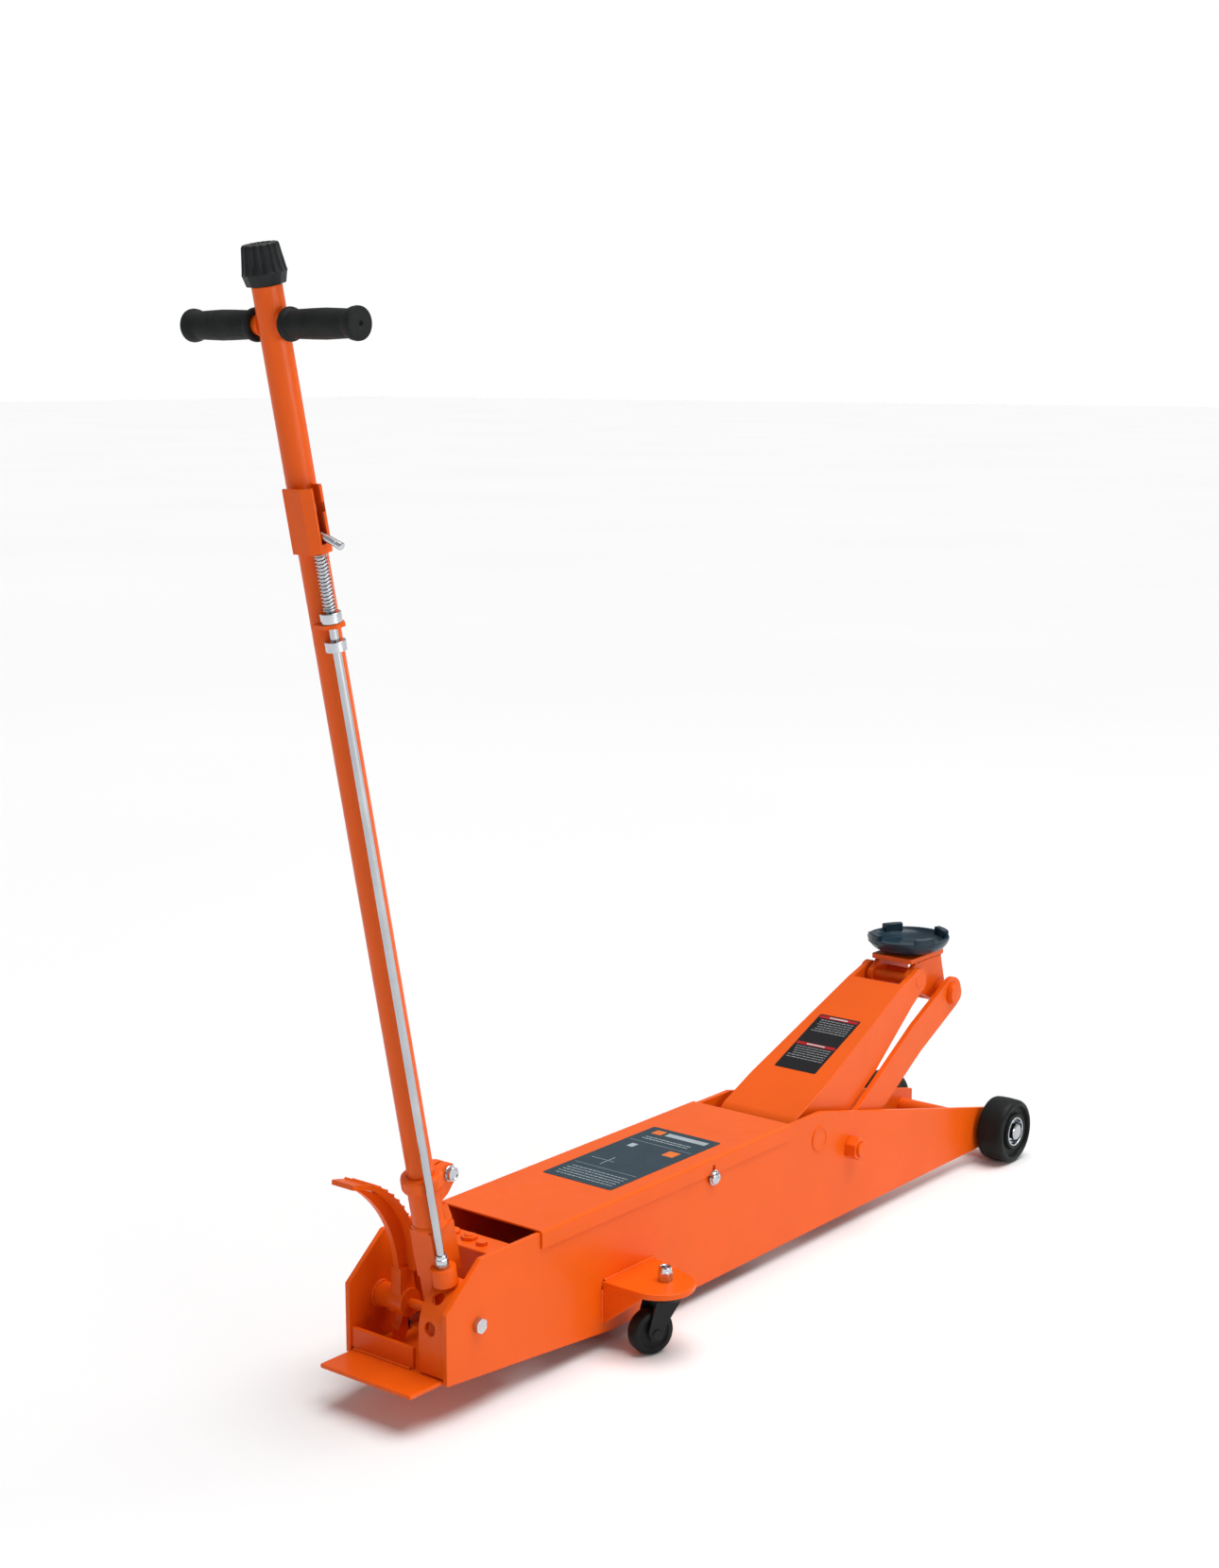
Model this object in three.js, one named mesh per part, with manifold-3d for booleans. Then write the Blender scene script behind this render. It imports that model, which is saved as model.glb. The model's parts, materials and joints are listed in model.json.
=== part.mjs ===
// Long-chassis hydraulic floor jack, millimetres, +X towards the saddle, +Z up, floor at z = 0.
// Everything is drawn from the rear end of the side plates (x = 0) and the mid-plane (y = 0);
// the last step moves the whole group so that the origin is the centre of its footprint.
import * as THREE from 'three';
import { mergeVertices } from 'three/addons/utils/BufferGeometryUtils.js';
import Module from 'manifold-3d';

// ---------------------------------------------------------------- driving dimensions
const GAP = 0.3;                 // clearance kept between touching pieces
const FINE = 28;                 // facets of large round pieces
const ROUGH = 14;                // facets of small round pieces
const MERGE = 1e-3;              // vertices closer than this are one

const HALF_WIDTH = 83.2;         // mid-plane to the outside of a side plate
const PLATE_T = 7;
const PLATE_IN = HALF_WIDTH - PLATE_T;
const BETWEEN = PLATE_IN - GAP;  // half width of what is welded between the plates
const TOP_Z = 191;               // top edge of the side plates
const REAR_TOP_Z = 139;
const REAR_LOW_Z = 50.5;
const SLANT_X = 62;              // where the rear slant reaches the top edge
const NOSE_X = 783;              // where the top edge starts to fall
const FRONT_X = 1288.5;
const FRONT_TOP_Z = 72;
const BOTTOM_Z = 20.5;
const BELLY_X = 309;             // where the underside becomes level

const COVER = { x0: 170, x1: 702, z: 193.9, t: 2.6, flange: 23, slotX: 522.5, slotW: 5, slotTop: 183 };
const SCREW = { x: 522.5, z: 166, r: 9, head: 6.5 };

const WHEEL = { x: 1256, r: 50, y0: 89, y1: 134, hubR: 23.2, ringIn: 12.8 };
const AXLE_R = 12.5;

const CASTER = { x: 342, y: 143, r: 30, w: 22, trail: 22, turn: -160, seatZ: 84, plateT: 8 };
const NOSE_R = 45;               // rounded outer end of a caster bracket
const BRACKET_X0 = 289;
const BRACKET_X1 = 396;

const PIVOT = { x: 55, z: 110.5, r: 6 };          // shared pivot bolt of handle and pedal
const HANDLE_Y = -30;
const HANDLE_TILT = THREE.MathUtils.degToRad(11.7);
const TUBE = { r: 16.2, bore: 12.5, s0: 124, s1: 1229 };
const SOCKET = { r: 19.5, s0: 121, s1: 191, ringR: 21.8, ringS: 174 };
const ROD = { x: -13.5, y: -25, r: 4.8, s0: 84, s1: 1004 };
const BOSS = { r: 15.5, s0: 57.5, s1: 79 };
const BAND = { r: 54, t: 4, y0: -75.9, y1: -37.5, foot: 58, top: 86, holes: [45.4, 4.7], holeR: 9 };
const TONGUE = { reach: 34, roller: 9, lean: 20, pedalLean: 12 };
const TEE_S = 1188.6;
const TEE = { r: 11, root: 16.9, end: 122 };
const KNOB = { s0: 1230, s1: 1272, low: 21.5, wide: 24.3, top: 20 };
const STRAP_S = 867;
const LATCH = { s0: 949, s1: 1020 };
const COLLAR = { r: 11.8, t: 11.5 };
const LOCK_TRAVEL = 15;

const PEDAL = { y: 38, half: 18, cx: -62, cz: 164, r: 125, t: 6, tipAngle: 82, tooth: 2.5 };
const RIB = { cx: -114, cz: 144, r: 157 };       // free edge of the rib under the pedal tread
const PLUNGER_Z = 80;
const BLOCK = { x0: 101, x1: 143, half: 58, z0: 52, z1: 180 };
const RAM = { r: 42, x0: 143.5, x1: 575, z: 88, bore: 290, rodR: 16, mountX: 540 };

const ARM_PIVOT = { x: 778, z: 152, r: 16 };
const ARM_TIP = { x: 1098, z: 310, r: 20, pinR: 10 };
const LINK_LOW = { x: 860, z: 119 };
const LINK = { w: 50, in: 50, t: 8, splay: 14.8, bend0: 25, bend1: 245, pinR: 10 };
const ARM = { out: 48, rearOut: 64, t: 8, taper0: 60, taper1: 325, crest: 42, lip: 24.5, skirt: -38,
  webIn: 39.5, webOut: 47.5, lug: 70, lugShift: -2 };
const LINK_TOP = { x: LINK_LOW.x + ARM_TIP.x - ARM_PIVOT.x, z: LINK_LOW.z + ARM_TIP.z - ARM_PIVOT.z };
const CON = { length: 80, in: 29, out: 37, pinR: 9, slack: 17, eyeR: 27 };

const SADDLE = { x: 1141.5, rim: 366.7, r: 62.8, depth: 22, lugH: 8 };
const HEAD = { half: 36, t: 8, x0: 1094, x1: 1188, z: 343 };
const LINK_OUT = LINK.in + LINK.t;               // outer face of a link at its upper end

const COLOURS = {
  orange: [0xf16c23, 0.35, 0.0], black: [0x232625, 0.6, 0.0], grip: [0x1c1d1d, 0.85, 0.0],
  saddle: [0x18303c, 0.45, 0.1], zinc: [0xb9bcc0, 0.35, 0.9], steel: [0x9a9fa5, 0.3, 0.9],
};

// ---------------------------------------------------------------- solids and booleans
const wasm = await Module();
wasm.setup();

function solid(geometry) {
  const g = geometry.clone();
  for (const name of ['normal', 'uv']) g.deleteAttribute(name);
  const m = mergeVertices(g, MERGE);
  const index = Array.from(m.index.array);
  const tri = [];
  for (let i = 0; i < index.length; i += 3) {
    const [a, b, c] = index.slice(i, i + 3);
    if (a !== b && b !== c && a !== c) tri.push(a, b, c);
  }
  return new wasm.Manifold(new wasm.Mesh({
    numProp: 3,
    vertProperties: new Float32Array(m.attributes.position.array),
    triVerts: new Uint32Array(tri),
  }));
}

function geometryOf(body) {
  const mesh = body.getMesh();
  const g = new THREE.BufferGeometry();
  g.setAttribute('position', new THREE.BufferAttribute(new Float32Array(mesh.vertProperties), 3));
  g.setIndex(new THREE.BufferAttribute(new Uint32Array(mesh.triVerts), 1));
  return g;
}

const join = (...bodies) => bodies.reduce((a, b) => a.add(b));
const cut = (body, ...tools) => tools.reduce((a, b) => a.subtract(b), body);

function box(x0, x1, y0, y1, z0, z1) {
  const g = new THREE.BoxGeometry(x1 - x0, y1 - y0, z1 - z0);
  g.translate((x0 + x1) / 2, (y0 + y1) / 2, (z0 + z1) / 2);
  return solid(g);
}

function rodY(r, x, z, y0, y1, facets = ROUGH) {
  const g = new THREE.CylinderGeometry(r, r, y1 - y0, facets);
  g.translate(x, (y0 + y1) / 2, z);
  return solid(g);
}

function rodZ(r, x, y, z0, z1, facets = ROUGH) {
  const g = new THREE.CylinderGeometry(r, r, z1 - z0, facets);
  g.rotateX(Math.PI / 2);
  g.translate(x, y, (z0 + z1) / 2);
  return solid(g);
}

function rodX(r, y, z, x0, x1, facets = ROUGH) {
  const g = new THREE.CylinderGeometry(r, r, x1 - x0, facets);
  g.rotateZ(Math.PI / 2);
  g.translate((x0 + x1) / 2, y, z);
  return solid(g);
}

// A flat outline in the x-z plane, given its thickness from y0 to y1.
function slab(outline, y0, y1) {
  const shape = outline instanceof THREE.Shape ? outline : polygon(outline);
  const g = new THREE.ExtrudeGeometry(shape, { depth: y1 - y0, bevelEnabled: false, curveSegments: 8 });
  g.rotateX(Math.PI / 2);
  g.translate(0, y1, 0);
  return solid(g);
}

// A flat outline in the x-y plane, given its thickness from z0 to z1.
function deck(outline, z0, z1) {
  const shape = outline instanceof THREE.Shape ? outline : polygon(outline);
  const g = new THREE.ExtrudeGeometry(shape, { depth: z1 - z0, bevelEnabled: false, curveSegments: 8 });
  g.translate(0, 0, z0);
  return solid(g);
}

const polygon = (points) => new THREE.Shape(points.map(([a, b]) => new THREE.Vector2(a, b)));

// A bar with round ends between two points of the x-z plane.
function capsule(a, b, r, y0, y1) {
  const along = Math.atan2(b[1] - a[1], b[0] - a[0]);
  const shape = new THREE.Shape();
  shape.absarc(b[0], b[1], r, along - Math.PI / 2, along + Math.PI / 2, false);
  shape.absarc(a[0], a[1], r, along + Math.PI / 2, along + Math.PI * 1.5, false);
  return slab(shape, y0, y1);
}

// A profile of [radius, height] turned about the z axis.
function turned(profile, facets = FINE) {
  const g = new THREE.LatheGeometry(profile.map(([r, h]) => new THREE.Vector2(r, h)), facets);
  g.rotateX(Math.PI / 2);
  return solid(g);
}

// A hexagonal bolt head or nut, its flats `flats` apart, along y.
function hexY(flats, x, z, y0, y1) {
  return rodY(flats / Math.sqrt(3), x, z, y0, y1, 6);
}

// ---------------------------------------------------------------- scene helpers
const jack = new THREE.Group();
const handleFrame = new THREE.Group();
handleFrame.position.set(PIVOT.x, HANDLE_Y, PIVOT.z);
handleFrame.rotation.y = -HANDLE_TILT;
jack.add(handleFrame);

function add(name, body, colour, parent = jack) {
  const [color, roughness, metalness] = COLOURS[colour];
  const material = new THREE.MeshStandardMaterial({ color, roughness, metalness });
  const mesh = new THREE.Mesh(geometryOf(body), material);
  mesh.name = name;
  parent.add(mesh);
  return mesh;
}

const SIDES = [['left', 1], ['right', -1]];
const span = (sign, near, far) => (sign > 0 ? [near, far] : [-far, -near]);

// ---------------------------------------------------------------- chassis
function sidePlate(sign) {
  const outline = [
    [0, REAR_LOW_Z], [BELLY_X, BOTTOM_Z], [FRONT_X, BOTTOM_Z], [FRONT_X, FRONT_TOP_Z],
    [NOSE_X, TOP_Z], [SLANT_X, TOP_Z], [0, REAR_TOP_Z],
  ];
  const [y0, y1] = span(sign, PLATE_IN, HALF_WIDTH);
  const hole = (r, at, facets = ROUGH) => rodY(r + GAP, at.x, at.z, y0 - 1, y1 + 1, facets);
  return cut(slab(outline, y0, y1), hole(PIVOT.r, PIVOT), hole(ARM_PIVOT.r, ARM_PIVOT, FINE),
    hole(LINK.pinR, LINK_LOW), hole(AXLE_R, { x: WHEEL.x, z: WHEEL.r }), hole(3, SCREW));
}

function footPlate() {
  const tread = box(-53, BLOCK.x0 - GAP, -74, 74, REAR_LOW_Z, REAR_LOW_Z + 5);
  const upstand = box(3, 9, -25, BETWEEN, REAR_LOW_Z, 83);
  return join(tread, upstand);
}

function topCover() {
  const inside = HALF_WIDTH + GAP;
  const outside = inside + COVER.t;
  const { x0, x1, z, t, flange } = COVER;
  const bent = cut(box(x0, x1, -outside, outside, z - flange, z),
    box(x0 - 1, x1 + 1, -inside, inside, z - flange - 1, z - t));
  const slot = box(COVER.slotX - COVER.slotW / 2, COVER.slotX + COVER.slotW / 2,
    -outside - 1, outside + 1, z - flange - 1, COVER.slotTop);
  return cut(bent, slot);
}

function coverScrew(sign) {
  const seat = HALF_WIDTH + GAP + COVER.t + GAP;
  const head = rodY(SCREW.r, SCREW.x, SCREW.z, ...span(sign, seat, seat + SCREW.head), ROUGH);
  const shank = rodY(2.1, SCREW.x, SCREW.z, ...span(sign, PLATE_IN - 4, seat + 1), 10);
  return join(head, shank);
}

const crossPlate = (x0, x1, z0, z1) => box(x0, x1, -BETWEEN, BETWEEN, z0, z1);

function ramMount() {
  return cut(crossPlate(RAM.mountX, RAM.mountX + 8, 30, 168), rodX(RAM.r + GAP, 0, RAM.z,
    RAM.mountX - 1, RAM.mountX + 9, FINE));
}

function pumpBlock() {
  const body = box(BLOCK.x0, BLOCK.x1, -BLOCK.half, BLOCK.half, BLOCK.z0, BLOCK.z1);
  const plug = rodZ(11, 124, -8, BLOCK.z1 - 1, BLOCK.z1 + 7, 12);
  const bore = (y) => rodX(7 + GAP, y, PLUNGER_Z, BLOCK.x0 - 1, BLOCK.x1 - 4);
  return cut(join(body, plug), bore(HANDLE_Y + 7.5), bore(PEDAL.y));
}

function ramCylinder() {
  const shell = rodX(RAM.r, 0, RAM.z, RAM.x0, RAM.x1, FINE);
  return cut(shell, rodX(RAM.rodR + GAP, 0, RAM.z, RAM.bore, RAM.x1 + 1, FINE));
}

function lockQuadrant() {
  const { r, t, y0, y1, foot, top } = BAND;
  const at = (radius, deg) => {
    const a = Math.PI - THREE.MathUtils.degToRad(deg);
    return [PIVOT.x + radius * Math.cos(a), PIVOT.z + radius * Math.sin(a)];
  };
  const ring = (inner) => {
    const shape = new THREE.Shape();
    const end = Math.PI - THREE.MathUtils.degToRad(top);
    shape.moveTo(PIVOT.x - r, foot);
    shape.lineTo(PIVOT.x - r, PIVOT.z);
    shape.absarc(PIVOT.x, PIVOT.z, r, Math.PI, end, true);
    shape.lineTo(...at(inner, top));
    shape.absarc(PIVOT.x, PIVOT.z, inner, end, Math.PI, false);
    shape.lineTo(PIVOT.x - inner, foot);
    return shape;
  };
  const web = slab(ring(r - 22), y0, y0 + t);
  const strip = slab(ring(r - t), y0, y1);
  const holes = BAND.holes.map((deg) => {
    const g = new THREE.CylinderGeometry(BAND.holeR, BAND.holeR, 24, ROUGH);
    g.rotateZ(Math.PI / 2);
    g.rotateY(THREE.MathUtils.degToRad(deg));
    g.translate(at(r, deg)[0], HANDLE_Y + ROD.y, at(r, deg)[1]);
    return solid(g);
  });
  return cut(join(web, strip), ...holes);
}

function pivotBolt() {
  const shaft = rodY(PIVOT.r, PIVOT.x, PIVOT.z, -HALF_WIDTH - 1, HALF_WIDTH + 1);
  const heads = SIDES.map(([, sign]) => hexY(17, PIVOT.x, PIVOT.z,
    ...span(sign, HALF_WIDTH + GAP, HALF_WIDTH + 7)));
  return join(shaft, ...heads);
}

function pedalSpacer() {
  const y0 = PEDAL.y + 13;
  return cut(rodY(15, PIVOT.x, PIVOT.z, y0, BETWEEN),
    rodY(PIVOT.r + GAP, PIVOT.x, PIVOT.z, y0 - 1, BETWEEN + 1));
}

// The stud ends flush with the inner face of the link, so that the arm can swing past it.
function linkBolt(sign) {
  const inner = LINK.in + LINK.splay;
  const { x, z } = LINK_LOW;
  const shaft = rodY(LINK.pinR, x, z, ...span(sign, inner, HALF_WIDTH + 21));
  const spacer = rodY(16, x, z, ...span(sign, inner + LINK.t + GAP, BETWEEN));
  const nut = hexY(30, x, z, ...span(sign, HALF_WIDTH + GAP, HALF_WIDTH + 17));
  return join(shaft, spacer, nut);
}

function casterBracket(sign) {
  const { x, y, seatZ, plateT } = CASTER;
  const nose = { x: BRACKET_X0 + NOSE_R, y: y - 2 };
  const shape = new THREE.Shape();
  shape.moveTo(BRACKET_X1, HALF_WIDTH + GAP);
  shape.lineTo(nose.x + 42, nose.y + 16);
  shape.absarc(nose.x, nose.y, NOSE_R, Math.atan2(16, 42), Math.PI, false);
  shape.lineTo(BRACKET_X0, HALF_WIDTH + GAP);
  const top = deck(shape, seatZ, seatZ + plateT);
  const gusset = (x0) => {
    const outline = polygon([[HALF_WIDTH + GAP, 34], [y + 5, seatZ + 1], [HALF_WIDTH + GAP, seatZ + 1]]);
    const g = new THREE.ExtrudeGeometry(outline, { depth: 6, bevelEnabled: false });
    g.rotateX(Math.PI / 2);
    g.rotateZ(Math.PI / 2);
    g.translate(x0, 0, 0);
    return solid(g);
  };
  const both = cut(join(top, gusset(BRACKET_X0)), rodZ(6 + GAP, x, y, seatZ - 1, seatZ + plateT + 1));
  return sign > 0 ? both : both.mirror([0, 1, 0]);
}

function casterNut(sign) {
  const { x, y, seatZ, plateT } = CASTER;
  const base = seatZ + plateT + GAP;
  const nut = rodZ(19 / Math.sqrt(3), x, sign * y, base, base + 15, 6);
  const stem = rodZ(6, x, sign * y, seatZ - 7, base + 20);
  return join(nut, stem);
}

// ---------------------------------------------------------------- wheels
function frontWheel(sign) {
  const { r, y0, y1, hubR } = WHEEL;
  const w = y1 - y0;
  const profile = [
    [hubR + GAP, 0], [r - 12, 0], [r - 5, 1.5], [r - 1, 8], [r, w / 2], [r - 1, w - 8],
    [r - 5, w - 1.5], [r - 9, w], [r - 12, w - 5], [hubR + 5, w - 5], [hubR + 4, w], [hubR + GAP, w],
    [hubR + GAP, 0],
  ];
  const g = new THREE.LatheGeometry(profile.map(([a, b]) => new THREE.Vector2(a, b)), FINE);
  if (sign < 0) g.rotateX(Math.PI);
  g.translate(WHEEL.x, sign * y0, WHEEL.r);
  return solid(g);
}

function wheelBearing(sign) {
  const at = span(sign, WHEEL.y0 + 1, WHEEL.y1 - 1);
  return cut(rodY(WHEEL.hubR, WHEEL.x, WHEEL.r, ...at, FINE),
    rodY(WHEEL.ringIn, WHEEL.x, WHEEL.r, at[0] - 1, at[1] + 1, FINE));
}

function frontAxle() {
  const end = WHEEL.y1 + 2.5;
  const shoulders = SIDES.map(([, sign]) => rodY(19, WHEEL.x, WHEEL.r,
    ...span(sign, HALF_WIDTH + GAP, WHEEL.y0 - 1)));
  return join(rodY(AXLE_R, WHEEL.x, WHEEL.r, -end, end), ...shoulders);
}

function turnedCaster(body, sign) {
  const swung = body.rotate([0, 0, sign * CASTER.turn]);
  return swung.translate([CASTER.x, sign * CASTER.y, 0]);
}

function casterFork(sign) {
  const { r, w, trail, seatZ } = CASTER;
  const leg = w / 2 + 2;
  const dish = rodZ(25, 0, 0, seatZ - 12, seatZ - GAP, ROUGH);
  const outline = polygon([[-20, seatZ - 9], [22, seatZ - 9], [trail + 12, r + 4], [trail + 7, r - 9],
    [trail - 8, r - 8], [trail - 12, r + 6]]);
  const legs = [1, -1].map((side) => slab(outline, ...span(side, leg, leg + 3)));
  const axle = rodY(4, trail, r, -leg - 4.5, leg + 4.5, 12);
  const bore = rodZ(6 + GAP, 0, 0, seatZ - 20, seatZ + 1);
  return turnedCaster(cut(join(dish, ...legs, axle), bore), sign);
}

function casterWheel(sign) {
  const { r, w, trail } = CASTER;
  const tyre = [[4 + GAP, -w / 2], [r - 6, -w / 2], [r - 2, -w / 2 + 2], [r, -4], [r, 4],
    [r - 2, w / 2 - 2], [r - 6, w / 2], [4 + GAP, w / 2], [4 + GAP, -w / 2]];
  const g = new THREE.LatheGeometry(tyre.map(([a, b]) => new THREE.Vector2(a, b)), FINE);
  g.translate(trail, 0, r);
  return turnedCaster(solid(g), sign);
}

// ---------------------------------------------------------------- lift linkage
// The arm is drawn along its own line from pivot to tip, then turned to its rest angle.
const ARM_ANGLE = Math.atan2(ARM_TIP.z - ARM_PIVOT.z, ARM_TIP.x - ARM_PIVOT.x);
const ARM_LENGTH = Math.hypot(ARM_TIP.z - ARM_PIVOT.z, ARM_TIP.x - ARM_PIVOT.x);

// Seen from the side: a curled rear end, a straight back, round cheek tips and a skirt.
function armSide(inset) {
  const { crest, lip, skirt, lug } = ARM;
  const curl = 30;
  const s = new THREE.Shape();
  const low = inset > 0 ? -lug : skirt;
  s.moveTo(-38 + inset, inset > 0 ? low : -4);
  s.lineTo(-38 + inset, crest - curl);
  s.absarc(-38 + curl, crest - curl, curl - inset, Math.PI, Math.PI / 2 - 0.05, true);
  s.lineTo(ARM_LENGTH - 40, lip - inset);
  if (inset > 0) {
    s.lineTo(ARM_LENGTH - 40, lug);
    s.lineTo(ARM_LENGTH + lug, lug);
    s.lineTo(ARM_LENGTH + lug, low);
    return s;
  }
  s.absarc(ARM_LENGTH, 0, ARM_TIP.r, Math.PI * 0.6, -Math.PI * 0.38, true);
  s.lineTo(ARM_LENGTH - 8, -19);
  s.lineTo(190, skirt);
  s.lineTo(-16, skirt);
  return s;
}

// Seen from above: level sides as far as taper0, then narrower up to taper1.
function armPlan(inset) {
  const { out, rearOut, taper0, taper1 } = ARM;
  const half = [[-120, rearOut], [taper0, rearOut], [taper1, out], [ARM_LENGTH + 100, out]];
  const near = half.map(([x, y]) => [x, y - inset]);
  const far = half.map(([x, y]) => [x, inset - y]).reverse();
  return deck(near.concat(far), -150, 150);
}

function liftArm() {
  const { out, rearOut, t, lug, webIn, webOut } = ARM;
  const wide = rearOut + 1;
  const sin = Math.sin(ARM_ANGLE);
  const cos = Math.cos(ARM_ANGLE);
  const lugX = ARM.lugShift * cos - lug * sin;
  const lugZ = -ARM.lugShift * sin - lug * cos;
  const shell = slab(armSide(0), -wide, wide).intersect(armPlan(0));
  const hollow = slab(armSide(t), -wide, wide).intersect(armPlan(t));
  const webShape = new THREE.Shape();
  webShape.moveTo(-24, 36);
  webShape.lineTo(lugX - 18, lugZ + 6);
  webShape.absarc(lugX, lugZ, 19, Math.PI * 0.93, Math.PI * 1.7, false);
  webShape.lineTo(60, 10);
  webShape.lineTo(60, 34);
  const webs = SIDES.map(([, sign]) => slab(webShape, ...span(sign, webIn, webOut)));
  const hub = rodY(24, 0, 0, -rearOut, rearOut, FINE);
  const body = cut(join(cut(shell, hollow), ...webs, hub),
    rodY(ARM_PIVOT.r + GAP, 0, 0, -wide, wide, FINE),
    rodY(ARM_TIP.pinR + GAP, ARM_LENGTH, 0, -out - 1, out + 1),
    rodY(CON.pinR + GAP, lugX, lugZ, -out - 1, out + 1));
  const swung = body.rotate([0, -THREE.MathUtils.radToDeg(ARM_ANGLE), 0]);
  return swung.translate([ARM_PIVOT.x, 0, ARM_PIVOT.z]);
}

const armShaft = () => rodY(ARM_PIVOT.r, ARM_PIVOT.x, ARM_PIVOT.z, -HALF_WIDTH - 0.8, HALF_WIDTH + 0.8, FINE);
const armTipPin = () => rodY(ARM_TIP.pinR, ARM_TIP.x, ARM_TIP.z, -ARM.out - 0.6, ARM.out + 0.6);

// A flat bar drawn along +x from its lower pin, bent outwards by `splay` towards that pin.
function liftLink(sign) {
  const { w, splay, bend0, bend1, pinR, t } = LINK;
  const faceAt = [[-w, splay], [bend0, splay], [bend1, 0], [ARM_LENGTH + w, 0]];
  const inner = faceAt.map(([x, y]) => [x, sign * (LINK.in + y)]);
  const outer = faceAt.map(([x, y]) => [x, sign * (LINK.in + y + t)]).reverse();
  const ring = sign > 0 ? inner.concat(outer) : outer.concat(inner);
  const bar = capsule([0, 0], [ARM_LENGTH, 0], w / 2, ...span(sign, LINK.in - 1, BETWEEN));
  const eyes = [0, ARM_LENGTH].map((x) => rodY(pinR + GAP, x, 0, ...span(sign, LINK.in - 1, BETWEEN)));
  const body = cut(bar.intersect(deck(ring, -w, w)), ...eyes);
  const swung = body.rotate([0, -THREE.MathUtils.radToDeg(ARM_ANGLE), 0]);
  return swung.translate([LINK_LOW.x, 0, LINK_LOW.z]);
}

function saddleBracket() {
  const { half, t, x0, x1, z } = HEAD;
  const top = box(x0, x1, -half, half, z - t, z);
  const lobe = capsule([ARM_TIP.x, ARM_TIP.z], [ARM_TIP.x, ARM_TIP.z + 1], 17, -half, half);
  const side = slab([[x0, z - 1], [ARM_TIP.x - 16, ARM_TIP.z], [ARM_TIP.x, ARM_TIP.z - 17],
    [LINK_TOP.x - 12, LINK_TOP.z - 12], [LINK_TOP.x + 10, LINK_TOP.z + 12], [x1 - 12, z - 1]], -half, half);
  const tube = rodY(16.5, LINK_TOP.x, LINK_TOP.z, -LINK.in + GAP, LINK.in - GAP, FINE);
  const hollow = box(x0 - 30, x1 + 30, -half + t, half - t, LINK_TOP.z - 40, z - t);
  return cut(join(cut(join(top, lobe, side), hollow), tube),
    rodY(ARM_TIP.pinR + GAP, ARM_TIP.x, ARM_TIP.z, -half - 1, half + 1),
    rodY(LINK.pinR + GAP, LINK_TOP.x, LINK_TOP.z, -LINK.in - 1, LINK.in + 1),
    rodZ(9 + GAP, SADDLE.x, 0, z - t - 1, z + 1));
}

function linkPin() {
  const { x, z } = LINK_TOP;
  const shaft = rodY(LINK.pinR, x, z, -LINK_OUT - 3, LINK_OUT + 3);
  const heads = SIDES.map(([, sign]) => rodY(15.5, x, z, ...span(sign, LINK_OUT + GAP, LINK_OUT + 8)));
  return join(shaft, ...heads);
}

function saddle() {
  const { r, depth, lugH } = SADDLE;
  const dish = turned([
    [0, -depth], [r - 26, -depth], [r - 10, -depth + 5], [r - 2, -7], [r, 0], [r - 6, 0], [r - 8, -6],
    [r - 22, -depth + 12], [r - 30, -depth + 9], [0, -depth + 9],
  ]);
  const stem = rodZ(9, 0, 0, -depth - 20, -depth + 1);
  const lugs = [45, 135, 225, 315].map((deg) => {
    const lug = box(r - 10, r - 1.5, -11, 11, -6, lugH);
    return lug.rotate([0, 0, deg]);
  });
  return join(dish, stem, ...lugs).translate([SADDLE.x, 0, SADDLE.rim]);
}

// ---------------------------------------------------------------- ram and con link
const LUG = { x: ARM_PIVOT.x + ARM.lugShift, z: ARM_PIVOT.z - ARM.lug };
const CROSS_X = LUG.x - CON.length;

const pistonRod = () => rodX(RAM.rodR, 0, RAM.z, RAM.bore + 45, CROSS_X - 22.3, FINE);

function crosshead() {
  const block = box(CROSS_X - 22, CROSS_X + 16, -24, 24, RAM.z - 17, RAM.z + 17);
  return join(block, rodY(CON.pinR, CROSS_X, RAM.z, -CON.out - 4, CON.out + 4));
}

function conLink() {
  const bars = SIDES.map(([, sign]) => join(
    capsule([CROSS_X, LUG.z], [LUG.x, LUG.z], 21, ...span(sign, CON.in, CON.out)),
    rodY(CON.eyeR, CROSS_X, LUG.z + 2, ...span(sign, CON.in, CON.out), FINE)));
  const slotX = CROSS_X - 3;
  const slots = capsule([slotX, RAM.z - CON.slack / 2 - 2], [slotX, RAM.z + 2], CON.pinR + 4,
    -CON.out - 1, CON.out + 1);
  const pin = rodY(CON.pinR, LUG.x, LUG.z, -ARM.out - 1, ARM.out + 1);
  return join(...bars.map((bar) => cut(bar, slots)), pin);
}

// ---------------------------------------------------------------- handle, lock and release
function tongueAt(lean) {
  const a = THREE.MathUtils.degToRad(lean);
  return [-TONGUE.reach * Math.sin(a), -TONGUE.reach * Math.cos(a)];
}

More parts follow.
